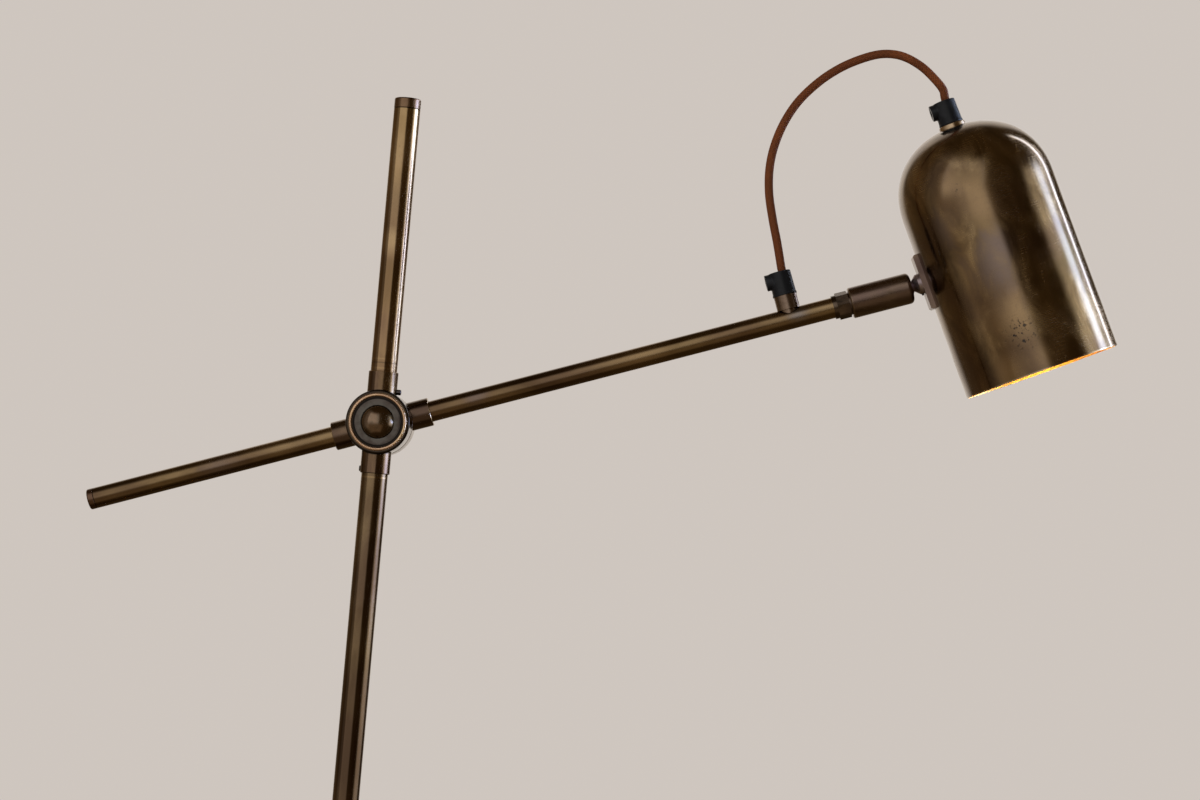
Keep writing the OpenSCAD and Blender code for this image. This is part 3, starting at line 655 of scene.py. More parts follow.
@dataclass(frozen=True)
class LitGlass:
    """The opal glass of the lamp while it is lit, whiter towards its crown."""

    name: str
    tip: Place
    warm: Colour = (1.0, 0.66, 0.26)
    white: Colour = (1.0, 0.84, 0.55)
    power: float = 24.0
    opal: tuple[Colour, Colour] = ((0.9, 0.87, 0.8), (0.8, 0.76, 0.7))

    def build(self) -> Material:
        """Builds the material and returns it."""
        s = Shader(self.name)
        at = s.place(0.0, self.tip)
        far = s.vector("LENGTH", at, output=1)
        frost = s.noise(at, 500.0, 2.0, 0.5)
        glow = s.mix(self.white, self.warm, far.step(0.03, 0.085))
        return s.finish(
            Base_Color=s.mix(*self.opal, frost),
            Roughness=0.25 + frost * 0.1, Emission_Color=glow, Emission_Strength=self.power,
        )


@dataclass(frozen=True)
class Felt:
    """Pressed felt or another matt stock with loose fibres."""

    name: str
    colour: Colour

    def build(self) -> Material:
        """Builds the material and returns it."""
        s = Shader(self.name)
        at = s.place()
        fibre = s.noise(at, 1500.0, 4.0, 0.75, 1.5)
        pale = paler(self.colour, 2.2, 0.01)
        return s.finish(
            Base_Color=s.mix(self.colour, pale, fibre.step(0.4, 0.75)), Roughness=0.95,
            Normal=s.bump(fibre, 0.0003),
        )


class Finishes:
    """Every finish of the lamp, built once and kept by name."""

    def __init__(self) -> None:
        """Builds the materials."""
        dark, body, light = (0.06, 0.034, 0.012), (0.15, 0.097, 0.045), (0.27, 0.185, 0.095)
        gold, plum, olive = (0.33, 0.22, 0.11), (0.145, 0.105, 0.09), (0.15, 0.11, 0.045)
        joint, stain_and_reflection = FRAMES.joint, (0.2, 0.185, 0.19)
        axis, face = (0.0, 0.0, joint[2]), (0.0, -0.0125, joint[2])
        # The middle tone paints light edges that are partly wear and partly highlight; the last
        # tone is painted shadow for grooves and socket roots.
        seam, wear_and_highlight, painted_shadow = (0.012, 0.008, 0.005), (0.42, 0.32, 0.2), (0.012, 0.008, 0.006)
        # Painted shade: the lower tubes take a darker copy of the post's brass, because they
        # mirror less light lower down; the upper tube's finish below is the lighter, lit copy.
        self.post_low = AgedMetal(
            "post_brass_low", dark, (0.118, 0.076, 0.038), (0.2, 0.138, 0.072), (0.13, 0.25),
            centre=axis, bands=(Band(-0.0392, 0.001, gold, 0.5),),
        ).build()
        self.post = AgedMetal(
            "post_brass", (0.13, 0.08, 0.035), (0.27, 0.178, 0.083), (0.4, 0.28, 0.15),
            (0.13, 0.24), centre=axis,
            blushes=(Blush((-0.002, -0.009, 1.3), 0.022, (0.17, 0.105, 0.05), 0.8),
                     Blush((-0.004, -0.008, 1.36), 0.03, (0.19, 0.13, 0.07), 0.6),
                     Blush((-0.001, -0.009, 1.33), 0.012, (0.42, 0.3, 0.16), 0.6)),
            bands=(Band(0.2256, 0.0009, seam), Band(0.0385, 0.0012, gold, 0.4),
                   Band(0.0425, 0.0008, seam, 0.4), Band(0.0452, 0.001, gold, 0.4)),
        ).build()
        self.post_cap = AgedMetal(
            "cap_brass", (0.055, 0.03, 0.016), (0.13, 0.075, 0.042), (0.2, 0.125, 0.07),
            (0.22, 0.34),
        ).build()
        self.boom = AgedMetal(
            "boom_brass", dark, (0.165, 0.108, 0.05), light, (0.14, 0.27), Grain.BOOM, joint,
            # The bluish-grey blush under the cord outlet is partly a solder stain and partly a
            # painted reflection of the outlet.
            blushes=(Blush(FRAMES.boom(0.309, 0.003, -0.0065), 0.014, stain_and_reflection, 0.8),
                     Blush(FRAMES.boom(0.07, 0.002, -0.007), 0.012, plum, 0.7),
                     Blush(FRAMES.boom(0.19, 0.0, -0.0075), 0.03, gold, 0.35),
                     Blush(FRAMES.boom(-0.12, 0.0, -0.0075), 0.02, plum, 0.5)),
            bands=(Band(-0.2142, 0.0009, seam),),
        ).build()
        self.base = AgedMetal(
            "base_brass", dark, body, light, (0.2, 0.34), spun=True, patches=14.0
        ).build()
        shade = FRAMES.shade
        self.shade = AgedMetal(
            "shade_brass", dark, body, light, (0.14, 0.26), Grain.SHADE,
            shade(0.0, 0.0), True, 52.0, 0.4, 0.04, 0.0001, 2.6,
            pits=(Pits(shade(-0.0128, 0.0290, -0.0551), 0.0155),
                  Pits(shade(-0.0191, 0.1400, -0.0530), 0.0045),
                  Pits(shade(0.0250, 0.0950, -0.0507), 0.004)),
            blushes=(Blush(shade(-0.0110, 0.0430, -0.0555), 0.024, gold, 0.6),
                     Blush(shade(0.0030, 0.0080, -0.0560), 0.018, gold, 0.5),
                     Blush(shade(-0.0260, 0.0080, -0.0500), 0.016, gold, 0.4),
                     Blush(shade(-0.0075, 0.1269, -0.0560), 0.022, gold, 0.5),
                     Blush(shade(-0.0260, 0.1420, -0.0500), 0.016, gold, 0.35),
                     Blush(shade(-0.0150, 0.0800, -0.0545), 0.026, plum, 0.8),
                     Blush(shade(0.0020, 0.0950, -0.0565), 0.018, plum, 0.6),
                     Blush(shade(-0.0374, 0.1200, -0.0423), 0.020, plum, 0.5),
                     Blush(shade(0.0440, 0.0700, -0.0350), 0.028, olive, 0.5),
                     Blush(shade(0.0400, 0.0900, 0.0400), 0.03, gold, 0.6),
                     Blush(shade(-0.0100, 0.0600, 0.0550), 0.03, plum, 0.7),
                     Blush(shade(-0.0380, 0.0300, 0.0420), 0.024, gold, 0.6)),
            # The light band at the rim is partly edge wear and partly a painted highlight.
            bands=(Band(0.0, 0.0016, wear_and_highlight),), mottle=0.35, rubbed=0.06,
        ).build()
        self.shade_inside = AgedMetal(
            "shade_inside", (0.45, 0.29, 0.08), (0.78, 0.56, 0.17), (0.88, 0.68, 0.28),
            (0.4, 0.55), Grain.SHADE, shade(0.0, 0.0), True, 30.0, 0.0,
        ).build()
        self.swivel = AgedMetal(
            "swivel_bronze", (0.07, 0.042, 0.02), (0.16, 0.103, 0.05), (0.26, 0.175, 0.09),
            (0.15, 0.27), centre=joint, patches=60.0,
            # The gold band at the upper collar's end is partly edge wear and partly a painted
            # highlight.
            bands=(Band(0.0364, 0.0007, gold), Band(-0.0364, 0.0007, seam, 0.7)),
            # Painted shadow: the outer rim is contact shade at the sockets' roots, the inner one
            # shade in the groove inside the bead.
            rims=(Rim(joint, 0.0206, 0.0232, painted_shadow), Rim(joint, 0.0155, 0.0183, painted_shadow)),
        ).build()
        self.boom_swivel = AgedMetal(
            "boom_swivel_bronze", (0.05, 0.031, 0.017), (0.11, 0.072, 0.042),
            (0.2, 0.135, 0.08), (0.16, 0.28), Grain.BOOM, joint, patches=60.0,
            # Light bands at both collar ends: partly edge wear, partly painted highlights.
            bands=(Band(0.0359, 0.0006, wear_and_highlight, 0.6), Band(-0.0359, 0.0006, wear_and_highlight, 0.6)),
        ).build()
        self.nut = AgedMetal(
            "nut_bronze", (0.035, 0.026, 0.018), (0.085, 0.06, 0.042), (0.14, 0.1, 0.07),
            (0.2, 0.32), Grain.BOOM, joint, patches=110.0,
        ).build()
        self.bead = AgedMetal(
            "bead_gold", (0.55, 0.38, 0.2), (0.8, 0.58, 0.35), (0.9, 0.7, 0.46),
            (0.4, 0.5), patches=70.0, coat=0.05, waves=0.00002,
            # Painted shadow in the groove on the bead's inner side.
            rims=(Rim(joint, 0.0170, 0.0185, painted_shadow, 0.97),),
        ).build()
        self.crown = AgedMetal(
            "crown_brass", (0.12, 0.08, 0.045), (0.3, 0.21, 0.13), (0.48, 0.36, 0.24),
            (0.22, 0.34), Grain.SHADE, patches=90.0,
        ).build()
        self.plate = TurnedMetal(
            "face_grey", (0.105, 0.1, 0.09), (0.075, 0.058, 0.052), face, 0.0176, 0.32, 0.0161
        ).build()
        self.button = TurnedMetal(
            "button_bronze", (0.17, 0.108, 0.066), (0.055, 0.045, 0.024), face, 0.0125, 0.15,
            coat=0.6,
        ).build()
        self.barrel = AgedMetal(
            "barrel_bronze", (0.1, 0.068, 0.042), (0.18, 0.127, 0.09), (0.24, 0.175, 0.13),
            (0.24, 0.36), Grain.BOOM, joint, patches=70.0,
            # The light line at the barrel's rear edge is a painted highlight.
            bands=(Band(0.3482, 0.0009, wear_and_highlight, 0.35),),
        ).build()
        self.steel = AgedMetal(
            "stud_steel", (0.26, 0.22, 0.2), (0.44, 0.37, 0.35), (0.56, 0.48, 0.46),
            (0.4, 0.5), Grain.SHADE, patches=120.0,
        ).build()
        self.pivot = AgedMetal(
            "pivot_bronze", (0.1, 0.068, 0.046), (0.19, 0.135, 0.1), (0.3, 0.22, 0.17),
            (0.24, 0.36), Grain.SHADE, patches=90.0,
        ).build()
        self.zinc = AgedMetal(
            "zinc_steel", (0.28, 0.28, 0.28), (0.45, 0.45, 0.44), (0.6, 0.6, 0.58),
            (0.25, 0.4), patches=80.0,
        ).build()
        self.iron = Felt("cast_iron", (0.03, 0.03, 0.032)).build()
        self.black = Plastic("black_grip", (0.006, 0.007, 0.009)).build()
        self.screw = AgedMetal(
            "screw_steel", (0.03, 0.028, 0.026), (0.07, 0.062, 0.056), (0.16, 0.14, 0.12),
            (0.22, 0.36), patches=300.0,
        ).build()
        self.braid = Braid("cord_braid", (0.125, 0.033, 0.007), (0.022, 0.006, 0.0015)).build()
        self.porcelain = Ceramic("porcelain").build()
        self.glass = LitGlass("lit_glass", shade(0.0, 0.052)).build()
        self.felt = Felt("felt_black", (0.012, 0.012, 0.012)).build()
        self.fibre = Felt("fibre_washer", (0.05, 0.035, 0.03)).build()


# ---- Mesh helpers ----


def link(obj: Object) -> Object:
    """Adds an object to the scene and returns it."""
    bpy.context.scene.collection.objects.link(obj)
    return obj


def solid(name: str, shape: bmesh.types.BMesh) -> Object:
    """Returns a new object in the scene with the shape as its mesh, and frees the shape."""
    mesh = bpy.data.meshes.new(name)
    shape.to_mesh(mesh)
    shape.free()
    return link(bpy.data.objects.new(name, mesh))


def evaluated(obj: Object) -> bpy.types.Mesh:
    """Returns the mesh that the object's modifiers make."""
    graph = bpy.context.evaluated_depsgraph_get()
    return bpy.data.meshes.new_from_object(obj.evaluated_get(graph), depsgraph=graph)


def coat(obj: Object, finish: Material) -> None:
    """Gives a mesh object one finish in all its slots."""
    obj.data.materials.clear()
    obj.data.materials.append(finish)


def dress(frame: dict[str, Any], finish: Material, nodes: Iterable[str]) -> None:
    """Gives CAD nodes a finish in all their slots.

    Args:
        finish: The material.
        nodes: The nodes' names.
    """
    for name in nodes:
        coat(frame["nodes"][name], finish)
        LOG.info("dressed %s in %s", name, finish.name)


class Tree(Graph):
    """A geometry node tree with named inputs, and the modifier that runs it."""

    family = "GeometryNode"

    def __init__(self, name: str) -> None:
        """Makes an empty tree with one geometry input and output."""
        super().__init__(bpy.data.node_groups.new(name, "GeometryNodeTree"))
        for way in ("INPUT", "OUTPUT"):
            self.tree.interface.new_socket("Geometry", in_out=way,
                                           socket_type="NodeSocketGeometry")
        self.entry = self.tree.nodes.new("NodeGroupInput")

    def inputs(self, kind: str, *names: str) -> list[Sock]:
        """Adds named inputs of one kind.

        Args:
            kind: The sockets' kind, such as Float, Int, Material or Object.
            *names: The inputs' names.

        Returns:
            The inputs' sockets inside the tree.
        """
        for name in names:
            self.tree.interface.new_socket(name, in_out="INPUT", socket_type="NodeSocket" + kind)
        return [Sock(self, self.entry.outputs[name]) for name in names]

    def geometry(self) -> Sock:
        """Returns the incoming geometry."""
        return Sock(self, self.entry.outputs["Geometry"])

    def close(self, shape: Sock, finish: Sock) -> None:
        """Ends the tree in Realize Instances and Set Material."""
        real = self.node("RealizeInstances", inputs={0: shape})
        done = self.node("SetMaterial", inputs={"Geometry": real, "Material": finish})
        self.node("NodeGroupOutput", inputs={0: done})

    def run(self, base: Object, name: str, **values: Any) -> Object:
        """Runs the tree on an object and returns the result as a plain mesh object.

        Args:
            base: The object that the modifier goes on; it is removed afterwards.
            name: Name of the new object.
            **values: The inputs' values, with underscores for spaces.

        Returns:
            The new object, at the origin.
        """
        modifier = base.modifiers.new(name, "NODES")
        modifier.node_group = self.tree
        for item in self.tree.interface.items_tree:
            key = item.name.replace(" ", "_")
            if item.item_type == "SOCKET" and item.in_out == "INPUT" and key in values:
                modifier[item.identifier] = values[key]
        mesh = evaluated(base)
        mesh.name = name
        base.modifiers.remove(modifier)
        bpy.data.objects.remove(base)
        return link(bpy.data.objects.new(name, mesh))


def turned(name: str, section: Sequence[tuple[float, float]], segments: int) -> Object:
    """Turns half a section about Z into a closed mesh.

    Args:
        name: The object's name.
        section: Points of the section, as radius and height, from axis to axis.
        segments: Facets round the axis.

    Returns:
        The new object.
    """
    shape = bmesh.new()
    corners = [shape.verts.new((r, 0.0, z)) for r, z in section]
    edges = [shape.edges.new(pair) for pair in zip(corners, corners[1:])]
    bmesh.ops.spin(
        shape, geom=corners + edges, cent=(0.0, 0.0, 0.0), axis=(0.0, 0.0, 1.0),
        angle=math.tau, steps=segments, use_merge=True,
    )
    bmesh.ops.remove_doubles(shape, verts=shape.verts, dist=1e-7)
    bmesh.ops.recalc_face_normals(shape, faces=shape.faces)
    return solid(name, shape)


def applied(obj: Object) -> Object:
    """Returns the same object with its modifiers applied to its mesh."""
    mesh = evaluated(obj)
    obj.modifiers.clear()
    obj.data = mesh
    return obj


def smooth_by_angle(obj: Object, angle: float) -> None:
    """Shades a mesh smooth, with sharp edges where faces meet at more than the angle."""
    obj.data.shade_smooth()
    obj.data.set_sharp_from_angle(angle=math.radians(angle))


# ---- Cord ----


@dataclass
class CordRun:
    """The braided cord between the two grips, in two tubes that meet on the arch.

    Attributes:
        diameter: Diameter of the cord.
        sides: Facets round the cord.
        ring: Length of one ring of faces.
        strands: Strands in each of the braid's two directions.
        relief: Height of a strand above the crossings.
        foot: Place of the cord in the lower grip, as along the boom, foot and mouth heights.
        head: Place of the cord in the upper grip, in the shade's frame.
        route: The route's own points in the boom's frame, as along and above.
        meet: Index in the route of the point where the tubes meet.
        lean: Rise, per length along the boom, of a line that the build works out but nothing
            uses.
    """

    diameter: float = 0.006
    sides: int = 56
    ring: float = 0.00034
    strands: int = 10
    relief: float = 0.00022
    foot: tuple[float, float, float] = (0.3060, 0.0258, 0.0358)
    head: tuple[float, float, float] = (0.0020, 0.20844, 0.19844)
    route: tuple[tuple[float, float], ...] = (
        (0.3063, 0.0400), (0.3077, 0.0550), (0.3090, 0.0740), (0.3112, 0.0920),
        (0.3160, 0.1090), (0.3235, 0.1240), (0.3345, 0.1385), (0.3485, 0.1510),
        (0.3655, 0.1605), (0.3815, 0.1662), (0.3970, 0.1690), (0.4120, 0.1694),
        (0.4233, 0.1667), (0.4323, 0.1614), (0.4408, 0.1526), (0.4468, 0.1429),
        (0.4511, 0.1332),
    )
    meet: int = 6
    lean: float = 0.3

    def points(self) -> list[Vector]:
        """Returns the route's points in the model's frame, from grip to grip."""
        along, low, mouth = self.foot
        out, top, base = self.head
        start = [FRAMES.boom(along, low), FRAMES.boom(along, mouth)]
        end = [FRAMES.shade(out, top), FRAMES.shade(out, base)]
        return start + [FRAMES.boom(a, u) for a, u in self.route] + end

    @staticmethod
    def smooth(points: Sequence[Vector], step: float) -> list[Vector]:
        """Returns points a step apart on a smooth curve through the given ones."""
        pts = [points[0] * 2 - points[1], *points, points[-1] * 2 - points[-2]]
        fine: list[Vector] = []
        for i in range(1, len(pts) - 2):
            a, b, c, d = pts[i - 1 : i + 3]
            for k in range(40):
                t = k / 40
                fine.append(
                    0.5 * (2 * b + (c - a) * t + (2 * a - 5 * b + 4 * c - d) * t * t
                           + (3 * b - a - 3 * c + d) * t ** 3)
                )
        fine.append(points[-1].copy())
        total = sum((q - p).length for p, q in zip(fine, fine[1:]))
        count = max(2, round(total / step))
        out, gone, i = [fine[0].copy()], 0.0, 0
        for n in range(1, count):
            want = total * n / count
            while gone + (fine[i + 1] - fine[i]).length < want:
                gone += (fine[i + 1] - fine[i]).length
                i += 1
            share = (want - gone) / (fine[i + 1] - fine[i]).length
            out.append(fine[i].lerp(fine[i + 1], share))
        return [*out, fine[-1].copy()]

    def tree(self) -> Tree:
        """Builds the node tree that sweeps the braid along a curve."""
        t = Tree("braided_cord")
        diameter, strands, relief, start = t.inputs(
            "Float", "Diameter", "Strands", "Relief", "Start length"
        )
        (sides,), (finish,) = t.inputs("Int", "Sides"), t.inputs("Material", "Finish")
        along = t.node("SplineParameter", output="Length")
        rail = t.node("CaptureAttribute", {"domain": "POINT"}, {0: t.geometry()})
        rail_node = rail.socket.node
        rail_node.capture_items.new("FLOAT", "Along")
        t.feed(rail_node.inputs[1], along)
        circle = t.node(
            "CurvePrimitiveCircle", {"mode": "RADIUS"},
            {"Resolution": sides, "Radius": diameter * 0.5},
        )
        ring = t.node("CaptureAttribute", {"domain": "POINT"}, {0: circle})
        ring_node = ring.socket.node
        ring_node.capture_items.new("FLOAT", "Round")
        t.feed(ring_node.inputs[1], t.node("SplineParameter", output="Factor"))
        tube = t.node(
            "CurveToMesh",
            inputs={"Curve": rail, "Profile Curve": ring, "Fill Caps": True},
        )
        far = Sock(t, rail_node.outputs[1]) + start
        turn = Sock(t, ring_node.outputs[1]) * strands
        pitch = diameter * math.pi / strands
        one, other = turn + far / pitch, turn - far / pitch
        parity = t.math("MODULO", t.math("FLOOR", one) + t.math("FLOOR", other) + 4096.0, 2.0)
        hump_one = t.math("SINE", t.math("FRACT", one) * math.pi)
        hump_other = t.math("SINE", t.math("FRACT", other) * math.pi)
        height = hump_one * parity + hump_other * (1.0 - parity)
        kept = t.node(
            "StoreNamedAttribute", {"data_type": "FLOAT", "domain": "POINT"},
            {"Geometry": tube, "Name": "strand", "Value": height},
        )
        normal = t.node("InputNormal")
        move = t.vector("SCALE", normal)
        t.feed(move.socket.node.inputs["Scale"], (height - 0.6) * relief)
        raised = t.node("SetPosition", inputs={"Geometry": kept, "Offset": move})
        t.close(t.node("SetShadeSmooth", inputs={"Geometry": raised}), finish)
        return t

    def build(self, finish: Material) -> None:
        """Args:
            finish: The braid's material.
        """
        whole = self.smooth(self.points(), self.ring)
        joint = FRAMES.boom(*self.route[self.meet])
        split = min(range(len(whole)), key=lambda i: (whole[i] - joint).length)
        tree = self.tree()
        runs = (
            ("cord_lower", whole[: split + 1], 0.0),
            ("cord_upper", whole[split:], split * self.ring),
        )
        for name, path, start in runs:
            curve = bpy.data.curves.new(name, "CURVE")
            curve.dimensions = "3D"
            spline = curve.splines.new("POLY")
            spline.points.add(len(path) - 1)
            spline.points.foreach_set("co", [c for p in path for c in (*p, 1.0)])
            tube = tree.run(
                link(bpy.data.objects.new(name + "_line", curve)), name,
                Diameter=self.diameter, Sides=self.sides, Strands=float(self.strands),
                Relief=self.relief, Start_length=start, Finish=finish,
            )
            length = sum((q - p).length for p, q in zip(path, path[1:]))
            LOG.info("%s: %.1f mm, %d faces", name, length * 1000, len(tube.data.polygons))
            exit_point = path[0] if name == "cord_lower" else path[-1]
            tuple(exit_point)
            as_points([tuple(p) for p in path[::8]] + [tuple(path[-1])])
            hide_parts("cord_loop")
            if name == "cord_lower":
                low = FRAMES.boom(self.foot[0], self.foot[2] + 0.002)
                high = FRAMES.boom(self.foot[0], self.route[self.meet][1] - 0.002)
                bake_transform(tube)
            else:
                line = (FRAMES.boom(1.0, self.lean) - FRAMES.boom(0.0, 0.0)).normalized()
                reach = (FRAMES.boom(*self.route[-1]) - joint).dot(line)
                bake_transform(tube)


# ---- Shade ----


@dataclass
class ShadeShell:
    """The spun bullet of the shade, raised by a rule and given its sheet's thickness.

    Attributes:
        radius: Radius of the straight wall.
        wall: Length of the straight wall.
        dome: Height of the dome.
        fullness: 2 is an ellipse, higher is fuller.
        sheet: Thickness of the sheet.
        crown: Radius of the flat at the crown.
        bore: Radius of the hole in the crown.
        segments: Facets round the shade.
        rows: Rows of faces from rim to crown.
        shares: Where along the rows the wall and the dome end.
    """

    radius: float = 0.0565
    wall: float = 0.1335
    dome: float = 0.054
    fullness: float = 2.2
    sheet: float = 0.0008
    crown: float = 0.010
    bore: float = 0.00485
    segments: int = 192
    rows: int = 72
    shares: tuple[float, float] = (0.42, 0.985)

    def tree(self) -> Tree:
        """Builds the node tree that raises the outer skin."""
        t = Tree("spun_shell")
        radius, wall, dome, power, crown, bore = t.inputs(
            "Float", "Radius", "Wall length", "Dome height", "Fullness", "Crown radius", "Bore"
        )
        segments, rows = t.inputs("Int", "Segments", "Rows")
        (finish,) = t.inputs("Material", "Finish")
        grid = t.node(
            "MeshGrid",
            inputs={"Size X": 1.0, "Size Y": 1.0, "Vertices X": segments, "Vertices Y": rows},
        )
        x, y, _ = t.split(t.node("InputPosition"))
        turn, rise = (x + 0.5) * math.tau, y + 0.5
        wall_share, dome_share = self.shares
        on_wall = t.math("LESS_THAN", rise, wall_share)
        last = t.math("ARCCOSINE", (crown / radius) ** (power * 0.5))
        angle = t.math("MAXIMUM", rise - wall_share, 0.0) / (dome_share - wall_share)
        angle = t.math("MINIMUM", angle, 1.0) * last
        root = 2.0 / power
        dome_r = radius * t.math("POWER", t.math("COSINE", angle), root)
        dome_z = wall + dome * t.math("POWER", t.math("SINE", angle), root)
        at_bore = t.math("GREATER_THAN", rise, 0.9999)
        dome_r = dome_r * (1.0 - at_bore) + bore * at_bore
        wall_z = wall * rise / wall_share
        r = radius * on_wall + dome_r * (1.0 - on_wall)
        z = wall_z * on_wall + dome_z * (1.0 - on_wall)
        place = t.join(r * t.math("COSINE", turn), r * t.math("SINE", turn), z)
        moved = t.node("SetPosition", inputs={"Geometry": grid, "Position": place})
        merged = t.node("MergeByDistance", inputs={"Geometry": moved,
                                                               "Distance": 0.00001})
        t.close(merged, finish)
        return t

    def build(self, finishes: Finishes) -> None:
        """Makes the shade's shell and hides the plain one.

        Args:
            finishes: The lamp's materials.
        """
        base = link(bpy.data.objects.new("shade_base", bpy.data.meshes.new("shade_base")))
        shell = self.tree().run(
            base, "shade_shell", Radius=self.radius, Wall_length=self.wall,
            Dome_height=self.dome, Fullness=self.fullness, Crown_radius=self.crown,
            Bore=self.bore, Segments=self.segments + 1, Rows=self.rows + 1,
            Finish=finishes.shade,
        )
        shell.data.materials.append(finishes.shade_inside)
        thick = shell.modifiers.new("sheet", "SOLIDIFY")
        thick.thickness, thick.offset, thick.use_even_offset = self.sheet, -1.0, True
        thick.material_offset, thick.use_rim = 1, True
        applied(shell)
        shell.data.transform(FRAMES.shade_matrix())
        smooth_by_angle(shell, 35.0)
        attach(shell, "shade")
        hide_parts("shade")
        LOG.info("shade shell: %d faces", len(shell.data.polygons))


# ---- Cord grips ----


@dataclass
class CordGrip:
    """A moulded cord grip with the boss of its clamping screw on one side.

    Attributes:
        foot: Diameter at the foot.
        top: Diameter at the top.
        height: Height of the grip.
        flange: Height and depth of the step round the foot.
        edge: Radius of the top edge.
        boss: Diameter of the screw's boss.
        reach: Reach of the boss from the grip's axis.
        screw: Diameter of the screw's hole.
        cord: Diameter of the cord's hole.
        nipple: Diameter and depth of the hole for the threaded nipple.
        voxel: Size of the facets that the moulded skin is made of.
        below: Gap between the boss and the grip's top.
    """

    foot: float = 0.0176
    top: float = 0.0164
    height: float = 0.0175
    flange: tuple[float, float] = (0.0013, 0.00028)
    edge: float = 0.0007
    boss: float = 0.0116
    reach: float = 0.0112
    screw: float = 0.0041
    cord: float = 0.0064
    nipple: tuple[float, float] = (0.0097, 0.0085)
    voxel: float = 0.00025
    below: float = 0.0001

    @property
    def boss_up(self) -> float:
        """Height of the boss's axis above the grip's foot."""
        return self.height - self.boss / 2 - self.below

    def body(self) -> Object:
        """Returns the turned body, drawn in the grip's own frame."""
        r, t, h, e = self.foot / 2, self.top / 2, self.height, self.edge
        rise, step = self.flange
        section = [(0.0, 0.0), (r, 0.0), (r, rise), (r - step, rise + step), (t, h - e)]
        section += [
            (t - e + e * math.cos(a), h - e + e * math.sin(a))
            for a in (math.pi / 8, math.pi / 4, math.pi * 3 / 8, math.pi / 2)
        ]
        return turned("grip_body", [*section, (0.0, h)], 96)

    def rod(self, diameter: float, start: Point, end: Point) -> Object:
        """Returns a plain rod between two points, for cutting or joining."""
        line = Vector(end) - Vector(start)
        r = diameter / 2
        rod = turned("rod", [(0.0, 0.0), (r, 0.0), (r, line.length), (0.0, line.length)], 64)
        turn = line.to_track_quat("Z", "Y").to_matrix().to_4x4()
        rod.data.transform(Matrix.Translation(start) @ turn)
        return rod

    def build(
        self, name: str, offset: float, place: Matrix, body: str, finish: Material
    ) -> None:
        """Makes one grip in place of its solid.

        Args:
            name: The CAD node that it stands for.
            offset: Place of the cord's hole, off the grip's axis.
            place: The grip's frame.
            body: The CAD body that it rides on.
            finish: Its material.
        """
        z = self.boss_up
        grip = self.body()
        grip.name = "moulded_" + name
        joined = (self.rod(self.boss, (-0.001, 0.0, z), (-self.reach, 0.0, z)), "UNION")
        wide, deep = self.nipple
        cuts = [
            (self.rod(wide, (0.0, 0.0, -0.002), (0.0, 0.0, deep)), "DIFFERENCE"),
            (self.rod(self.cord, (offset, 0.0, deep - 0.001), (offset, 0.0, 0.02)), "DIFFERENCE"),
            (self.rod(self.screw, (-self.foot / 4, 0.0, z), (-0.02, 0.0, z)), "DIFFERENCE"),
        ]
        for tool, operation in [joined, *cuts]:
            cut = grip.modifiers.new(operation.lower(), "BOOLEAN")
            cut.object, cut.operation, cut.solver = tool, operation, "MANIFOLD"
        skin = grip.modifiers.new("skin", "REMESH")
        skin.mode, skin.voxel_size, skin.use_smooth_shade = "VOXEL", self.voxel, True
        soften = grip.modifiers.new("soften", "SMOOTH")
        soften.factor, soften.iterations = 0.5, 5
        applied(grip)
        for tool, _ in [joined, *cuts]:
            bpy.data.objects.remove(tool)
        grip.data.transform(place)
        coat(grip, finish)
        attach(grip, body)
        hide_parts(name)
        LOG.info("%s: %d faces", grip.name, len(grip.data.polygons))


# ---- Screws ----


class Drive(Enum):
    """The drive in a screw's head."""

    SOCKET = 0
    SLOT = 1


@dataclass(frozen=True)
class Screw:
    """One headless screw: its outer end, the way it points, its size and its drive."""

    end: Vector
    aim: Vector
    diameter: float
    length: float
    drive: Drive


